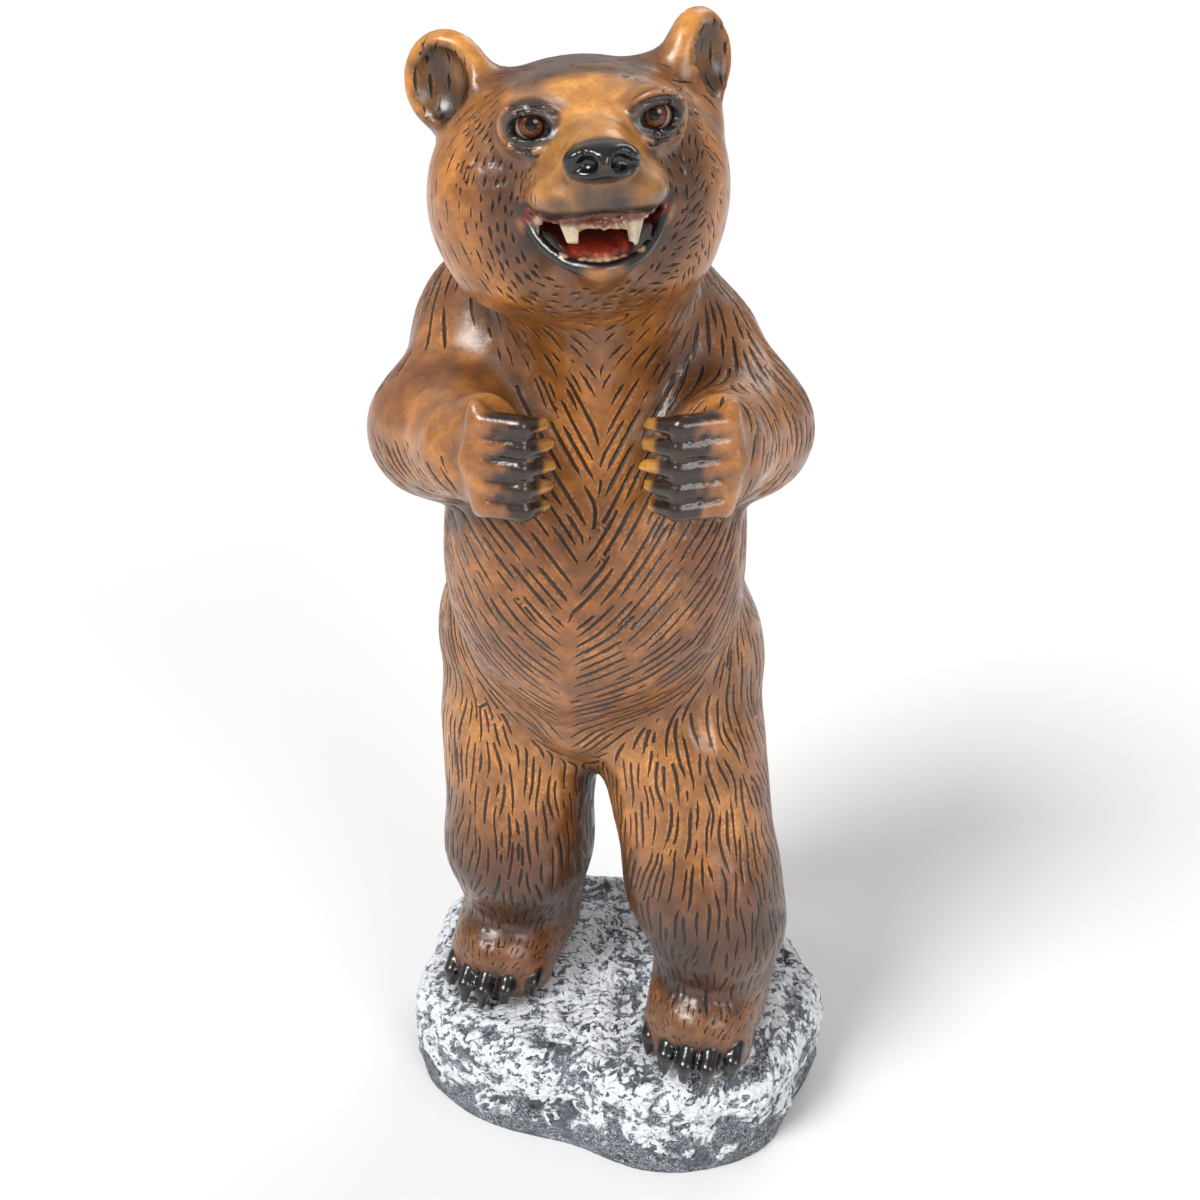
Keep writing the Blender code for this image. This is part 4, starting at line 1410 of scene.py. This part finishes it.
def layer(mesh, name, values):
    """One value for each point of the mesh, for its material."""
    mesh.attributes.new(name, "FLOAT", "POINT").data.foreach_set("value", values)


def build_bear():
    points, faces = bear_surface()
    level, points, faces, normals, stroke = grooved(points, faces)
    colours, rough = painted(level, normals)
    colours *= stroke[:, 2:]
    points[:, 2] = np.maximum(points[:, 2], 0.0)
    place = np.array(figure_place())
    low, high = (np.array(corner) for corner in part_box("bear"))
    spots = np.clip(points * UNIT + place, low + BOX_MARGIN, high - BOX_MARGIN)
    mesh = mesh_of("cast_bear", spots, faces.tolist())
    tint = mesh.color_attributes.new("tint", "FLOAT_COLOR", "POINT")
    tint.data.foreach_set("color", np.column_stack([colours, np.ones(len(colours))]).ravel())
    mesh.attributes.new("stroke", "FLOAT_VECTOR", "POINT").data.foreach_set("vector", stroke.ravel())
    layer(mesh, "varnish", rough)
    bear = added("cast_bear", mesh)
    mesh.materials.append(fur_paint())
    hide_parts("bear")
    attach(bear, "root")


# Plinth


def plinth_box():
    feet = np.array([RIGHT_FOOT, LEFT_FOOT]) * UNIT
    side = FOOT_HALF_WIDTH * UNIT
    front = TOE_REACH * UNIT + PLINTH_FRONT_MARGIN
    back = HEEL_REACH * UNIT + PLINTH_BACK_MARGIN
    low = feet.min(axis=0) - (side + PLINTH_RIGHT_MARGIN, front)
    high = feet.max(axis=0) + (side + PLINTH_LEFT_MARGIN, back)
    return low, high


def figure_place():
    low, high = plinth_box()
    middle = (low + high) / 2
    return (-middle[0], -middle[1], PLINTH_HEIGHT + SEAT_GAP)


def plinth_outline(sides):
    """The plinth's plan, a rounded block with broken corners, as points round the origin."""
    low, high = plinth_box()
    half = (high - low) / 2
    angles = np.linspace(0.0, 2 * math.pi, sides, endpoint=False)
    across, along = np.cos(angles), np.sin(angles)
    squareness = 2.75
    reach = (np.abs(across) ** squareness + np.abs(along) ** squareness) ** (-1 / squareness)
    reach *= 1 + 0.008 * np.sin(2 * angles + 2.6) + 0.022 * np.sin(5 * angles + 0.7)
    reach *= 1 + 0.012 * np.sin(9 * angles)
    plan = np.stack([reach * across, reach * along], axis=1)
    plan = 2 * (plan - plan.min(axis=0)) / (plan.max(axis=0) - plan.min(axis=0)) - 1
    return plan * half


def rock_relief(x, y, z):
    wave = np.sin(31 * x + 2 * np.sin(17 * y)) * np.sin(27 * y + 1.5 * np.sin(23 * z + 19 * x))
    chips = np.sin(58 * x - 41 * y + 47 * z) * np.sin(49 * y + 37 * x + 29 * z)
    return np.clip(0.5 + 0.35 * wave + 0.25 * chips, 0, 1)


def off_the_seats(x, y):
    """0 where a foot stands on the rock, and 1 clear of the feet."""
    place = figure_place()
    clear = np.ones_like(x)
    for foot_x, foot_y in (RIGHT_FOOT, LEFT_FOOT):
        side = np.abs(x - place[0] - foot_x * UNIT) - (FOOT_HALF_WIDTH + SEAT_RIM) * UNIT
        front = (foot_y - TOE_REACH - SEAT_RIM) * UNIT - (y - place[1])
        back = (y - place[1]) - (foot_y + HEEL_REACH + SEAT_RIM) * UNIT
        outside = np.maximum(side, np.maximum(front, back))
        clear = np.minimum(clear, np.clip(outside / (SEAT_SLOPE * UNIT), 0, 1))
    return clear


def wander(place):
    """Smooth noise as a vector, the same in every run."""
    shifts = ((9.3, -1.5, -8.0), (0.0, 0.0, 0.0), (6.3, 11.2, -5.4))
    return Vector([noise.noise(place + Vector(shift)) for shift in shifts])


def fine_rock(points):
    """Small hammered and crumbled relief, from 0 in a pit to 1 on a crest."""
    made = []
    for p in points.tolist():
        v = Vector(p)
        warp = wander(v * 22.0) * 0.012
        slab = noise.noise((v + warp) * 34.0) + 0.5 * noise.noise(v * 15.0)
        worm = 1.0 - min(abs(noise.noise((v + warp * 1.5) * Vector((72.0, 72.0, 60.0)))) * 4.5, 1.0)
        crumb = noise.noise(v * 150.0)
        made.append(0.6 + 0.42 * slab - 0.4 * worm + 0.16 * crumb)
    return np.clip(np.array(made), 0.0, 1.0)


def plinth_rings(sides):
    """Rings of the plinth's surface: place, outward direction of the relief and how deep it may go."""
    plan = plinth_outline(sides)
    outward = plan / np.linalg.norm(plan, axis=1)[:, None]
    rounding = min(PLINTH_EDGE_ROUNDING, 0.8 * PLINTH_HEIGHT)
    skirt = SKIRT_SHARE * PLINTH_HEIGHT
    profile = []
    for share in np.linspace(0, 1, SKIRT_RINGS, endpoint=False):
        profile.append((PLINTH_FOOT_INSET * (1 - 0.7 * share), skirt * share, 0.0))
    for share in np.linspace(0, 1, WALL_RINGS, endpoint=False):
        z = skirt + (PLINTH_HEIGHT - rounding - skirt) * share
        profile.append((0.3 * PLINTH_FOOT_INSET * (1 - share), z, 0.0))
    for angle in np.radians(np.linspace(0, 88, EDGE_RINGS)):
        inset = rounding * (1 - math.cos(angle))
        profile.append((inset, PLINTH_HEIGHT - rounding * (1 - math.sin(angle)), angle))
    made = []
    for inset, z, angle in profile:
        depth = PLINTH_RELIEF_DEPTH * rock_relief(plan[:, 0], plan[:, 1], z) * min(1.0, z / rounding)
        depth = depth * math.cos(angle)
        ring_points = np.column_stack([plan - outward * (inset + depth)[:, None], np.full(sides, z)])
        way = np.column_stack([outward * math.cos(angle), np.full(sides, math.sin(angle))])
        made.append((ring_points, way, np.full(sides, min(1.0, 0.25 + z / 0.06))))
    rim = made[-1][0][:, :2]
    for share in np.linspace(1.0, 0.0, TOP_RINGS + 2)[1:-1]:
        x, y = (rim * share).T
        clear = off_the_seats(x, y)
        sink = PLINTH_RELIEF_DEPTH * rock_relief(x, y, PLINTH_HEIGHT) * clear
        top = np.column_stack([x, y, PLINTH_HEIGHT - sink])
        made.append((top, np.tile((0.0, 0.0, 1.0), (sides, 1)), clear))
    return made


def rock_paint():
    """Black paint in the pits of the rock and white dry brush on its crests."""
    make = Nodes("painted_rock")
    relief = make.attribute("relief")
    pit = make.ramp(make.noise(72.0, 1.5, 0.5, 1.0), 0.57, 0.62)
    thin = make.math("ABSOLUTE", make.math("SUBTRACT", make.noise(46.0, 2.0, 0.6, 1.6), 0.5))
    thin = make.times(make.ramp(thin, 0.03, 0.006), 0.45)
    vein = make.math("SUBTRACT", 1.0, make.math("MAXIMUM", pit, thin), clamp=True)
    crumb = make.noise(110.0, 3.0, 0.6, 0.4)
    height = make.math("MULTIPLY_ADD", crumb, 0.36, relief)
    height = make.math("MULTIPLY_ADD", vein, 0.22, height)
    low_side = make.attribute("white")
    level = make.math("ADD", height, make.math("MULTIPLY_ADD", low_side, 0.5, -0.5))
    white = make.ramp(level, 0.66, 0.9)
    white = make.times(white, make.ramp(vein, 0.0, 1.0, 0.08, 1.0))
    white = make.times(white, make.ramp(make.noise(420.0, 2.0, 0.6), 0.3, 0.55, 0.72, 1.0))
    wash = make.ramp(make.noise(16.0, 3.0, 0.6), 0.38, 0.68)
    dark = make.mix(make.ramp(crumb, 0.35, 0.75), tone(34, 36, 40), tone(88, 93, 104))
    dark = make.mix(make.times(wash, 0.4), dark, tone(112, 119, 132))
    scratch = make.math("ABSOLUTE", make.math("SUBTRACT", make.noise(85.0, 2.0, 0.6, 2.2), 0.5))
    patch = make.ramp(make.noise(26.0, 2.0, 0.6), 0.35, 0.5)
    scratch = make.times(make.ramp(scratch, 0.04, 0.012), patch)
    dark = make.mix(make.times(scratch, 0.7), dark, tone(206, 212, 220))
    colour = make.mix(white, dark, tone(228, 232, 237))
    make.bump(height, 0.004, 0.9)
    make.set(Base_Color=colour, Roughness=make.ramp(white, 0.0, 1.0, 0.5, 0.75))
    return make.material


def build_plinth():
    sides = ROCK_SIDES
    rings = plinth_rings(sides)
    points, ways, limit = (np.concatenate([ring[i] for ring in rings]) for i in range(3))
    relief = fine_rock(points)
    points -= ways * ((1 - relief) * ROCK_RELIEF * limit)[:, None]
    count = len(rings)
    faces = []
    for ring_index in range(count - 1):
        base, above = ring_index * sides, (ring_index + 1) * sides
        i = np.arange(sides)
        j = (i + 1) % sides
        faces += np.stack([base + i, base + j, above + j, above + i], axis=1).tolist()
    faces.append(list(range((count - 1) * sides, count * sides)))
    faces.append(list(range(sides))[::-1])
    mesh = mesh_of("cast_rock", points, faces)
    layer(mesh, "relief", relief)
    layer(mesh, "white", ramp(0.0, 0.1, points[:, 2]))
    rock = added("cast_rock", mesh)
    mesh.materials.append(rock_paint())
    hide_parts("rock_plinth")
    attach(rock, "root")


# Eyes


def eye_paint():
    """White, iris and pupil by the angle from the gaze, under clear glass."""
    make = Nodes("glass_eye")
    angle = make.attribute("gaze")
    streak = make.noise(900.0, 3.0, 0.6)
    iris = make.mix(make.ramp(streak, 0.35, 0.7), tone(52, 24, 12), tone(142, 78, 40))
    iris = make.mix(make.ramp(angle, 32.0, 43.0), iris, tone(36, 18, 12))
    colour = make.mix(make.ramp(angle, PUPIL_ANGLE + 1.5, PUPIL_ANGLE), iris, tone(6, 5, 6))
    white = make.mix(make.ramp(angle, 44.0, 64.0), tone(162, 144, 126), tone(92, 66, 54))
    colour = make.mix(make.ramp(angle, IRIS_ANGLE, IRIS_ANGLE + 2.5), colour, white)
    make.set(Base_Color=colour, Roughness=0.04)
    return make.material


def build_eye(name, paint):
    low, high = (np.array(corner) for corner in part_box(name))
    centre = (low + high) / 2
    camera_place = np.array(bpy.context.scene.camera.location)
    gaze = Vector(camera_place - centre).normalized()
    form = bmesh.new()
    bmesh.ops.create_uvsphere(form, u_segments=64, v_segments=40, radius=EYE_RADIUS)
    turned = gaze.to_track_quat("Z", "Y").to_matrix().to_4x4()
    mesh = bpy.data.meshes.new(name + "_glass")
    form.to_mesh(mesh)
    form.free()
    spots = np.array([v.co for v in mesh.vertices])
    angle = np.degrees(np.arccos(np.clip(spots[:, 2] / EYE_RADIUS, -1, 1)))
    layer(mesh, "gaze", angle)
    mesh.transform(Matrix.Translation(Vector(centre)) @ turned)
    mesh.shade_smooth()
    eye = added(name + "_glass", mesh)
    mesh.materials.append(paint)
    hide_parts(name)
    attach(eye, "root")


# Stage


def camera():
    x, y, _ = figure_place()
    made = added("camera", bpy.data.cameras.new("camera"))
    side, ahead = math.sin(CAMERA_TURN), math.cos(CAMERA_TURN)
    made.location = (x + side * CAMERA_REACH, y - ahead * CAMERA_REACH, CAMERA_HEIGHT)
    level = math.cos(CAMERA_PITCH)
    look = Vector((-side * level, ahead * level, -math.sin(CAMERA_PITCH)))
    made.rotation_mode = "QUATERNION"
    made.rotation_quaternion = look.to_track_quat("-Z", "Y")
    made.data.sensor_width = SENSOR_WIDTH
    made.data.lens = SENSOR_WIDTH * FOCAL_SHARE
    made.data.clip_start = 0.05
    bpy.context.scene.camera = made


def sun(name, way, spread, strength):
    """A soft even light from a direction, spread over an angle in degrees."""
    data = bpy.data.lights.new(name, "SUN")
    data.angle = math.radians(spread)
    data.energy = strength
    made = added(name, data)
    made.rotation_mode = "QUATERNION"
    made.rotation_quaternion = Vector(way).to_track_quat("Z", "Y")


def studio():
    world = bpy.data.worlds.new("studio")
    bpy.context.scene.world = world
    world.use_nodes = True
    background = world.node_tree.nodes["Background"]
    background.inputs["Color"].default_value = (1.0, 0.99, 0.98, 1.0)
    background.inputs["Strength"].default_value = 0.42
    sun("key", (-0.5, -0.85, 1.0), 22, 2.5)
    sun("fill", (0.9, -0.75, 0.55), 26, 0.9)
    sun("back", (0.3, 1.0, 0.9), 30, 0.5)
    bpy.context.scene.view_settings.view_transform = "Standard"
    form = bmesh.new()
    bmesh.ops.create_grid(form, x_segments=1, y_segments=1, size=40.0)
    mesh = bpy.data.meshes.new("floor")
    form.to_mesh(mesh)
    form.free()
    floor = added("floor", mesh)
    make = Nodes("pale_floor")
    make.set(Base_Color=(0.86, 0.86, 0.86, 1.0), Roughness=0.9)
    mesh.materials.append(make.material)
    floor.location = (0, 0, -0.0005)


camera()
studio()
build_bear()
build_plinth()
glass = eye_paint()
for eye_name in EYE_PLACES:
    build_eye(eye_name, glass)
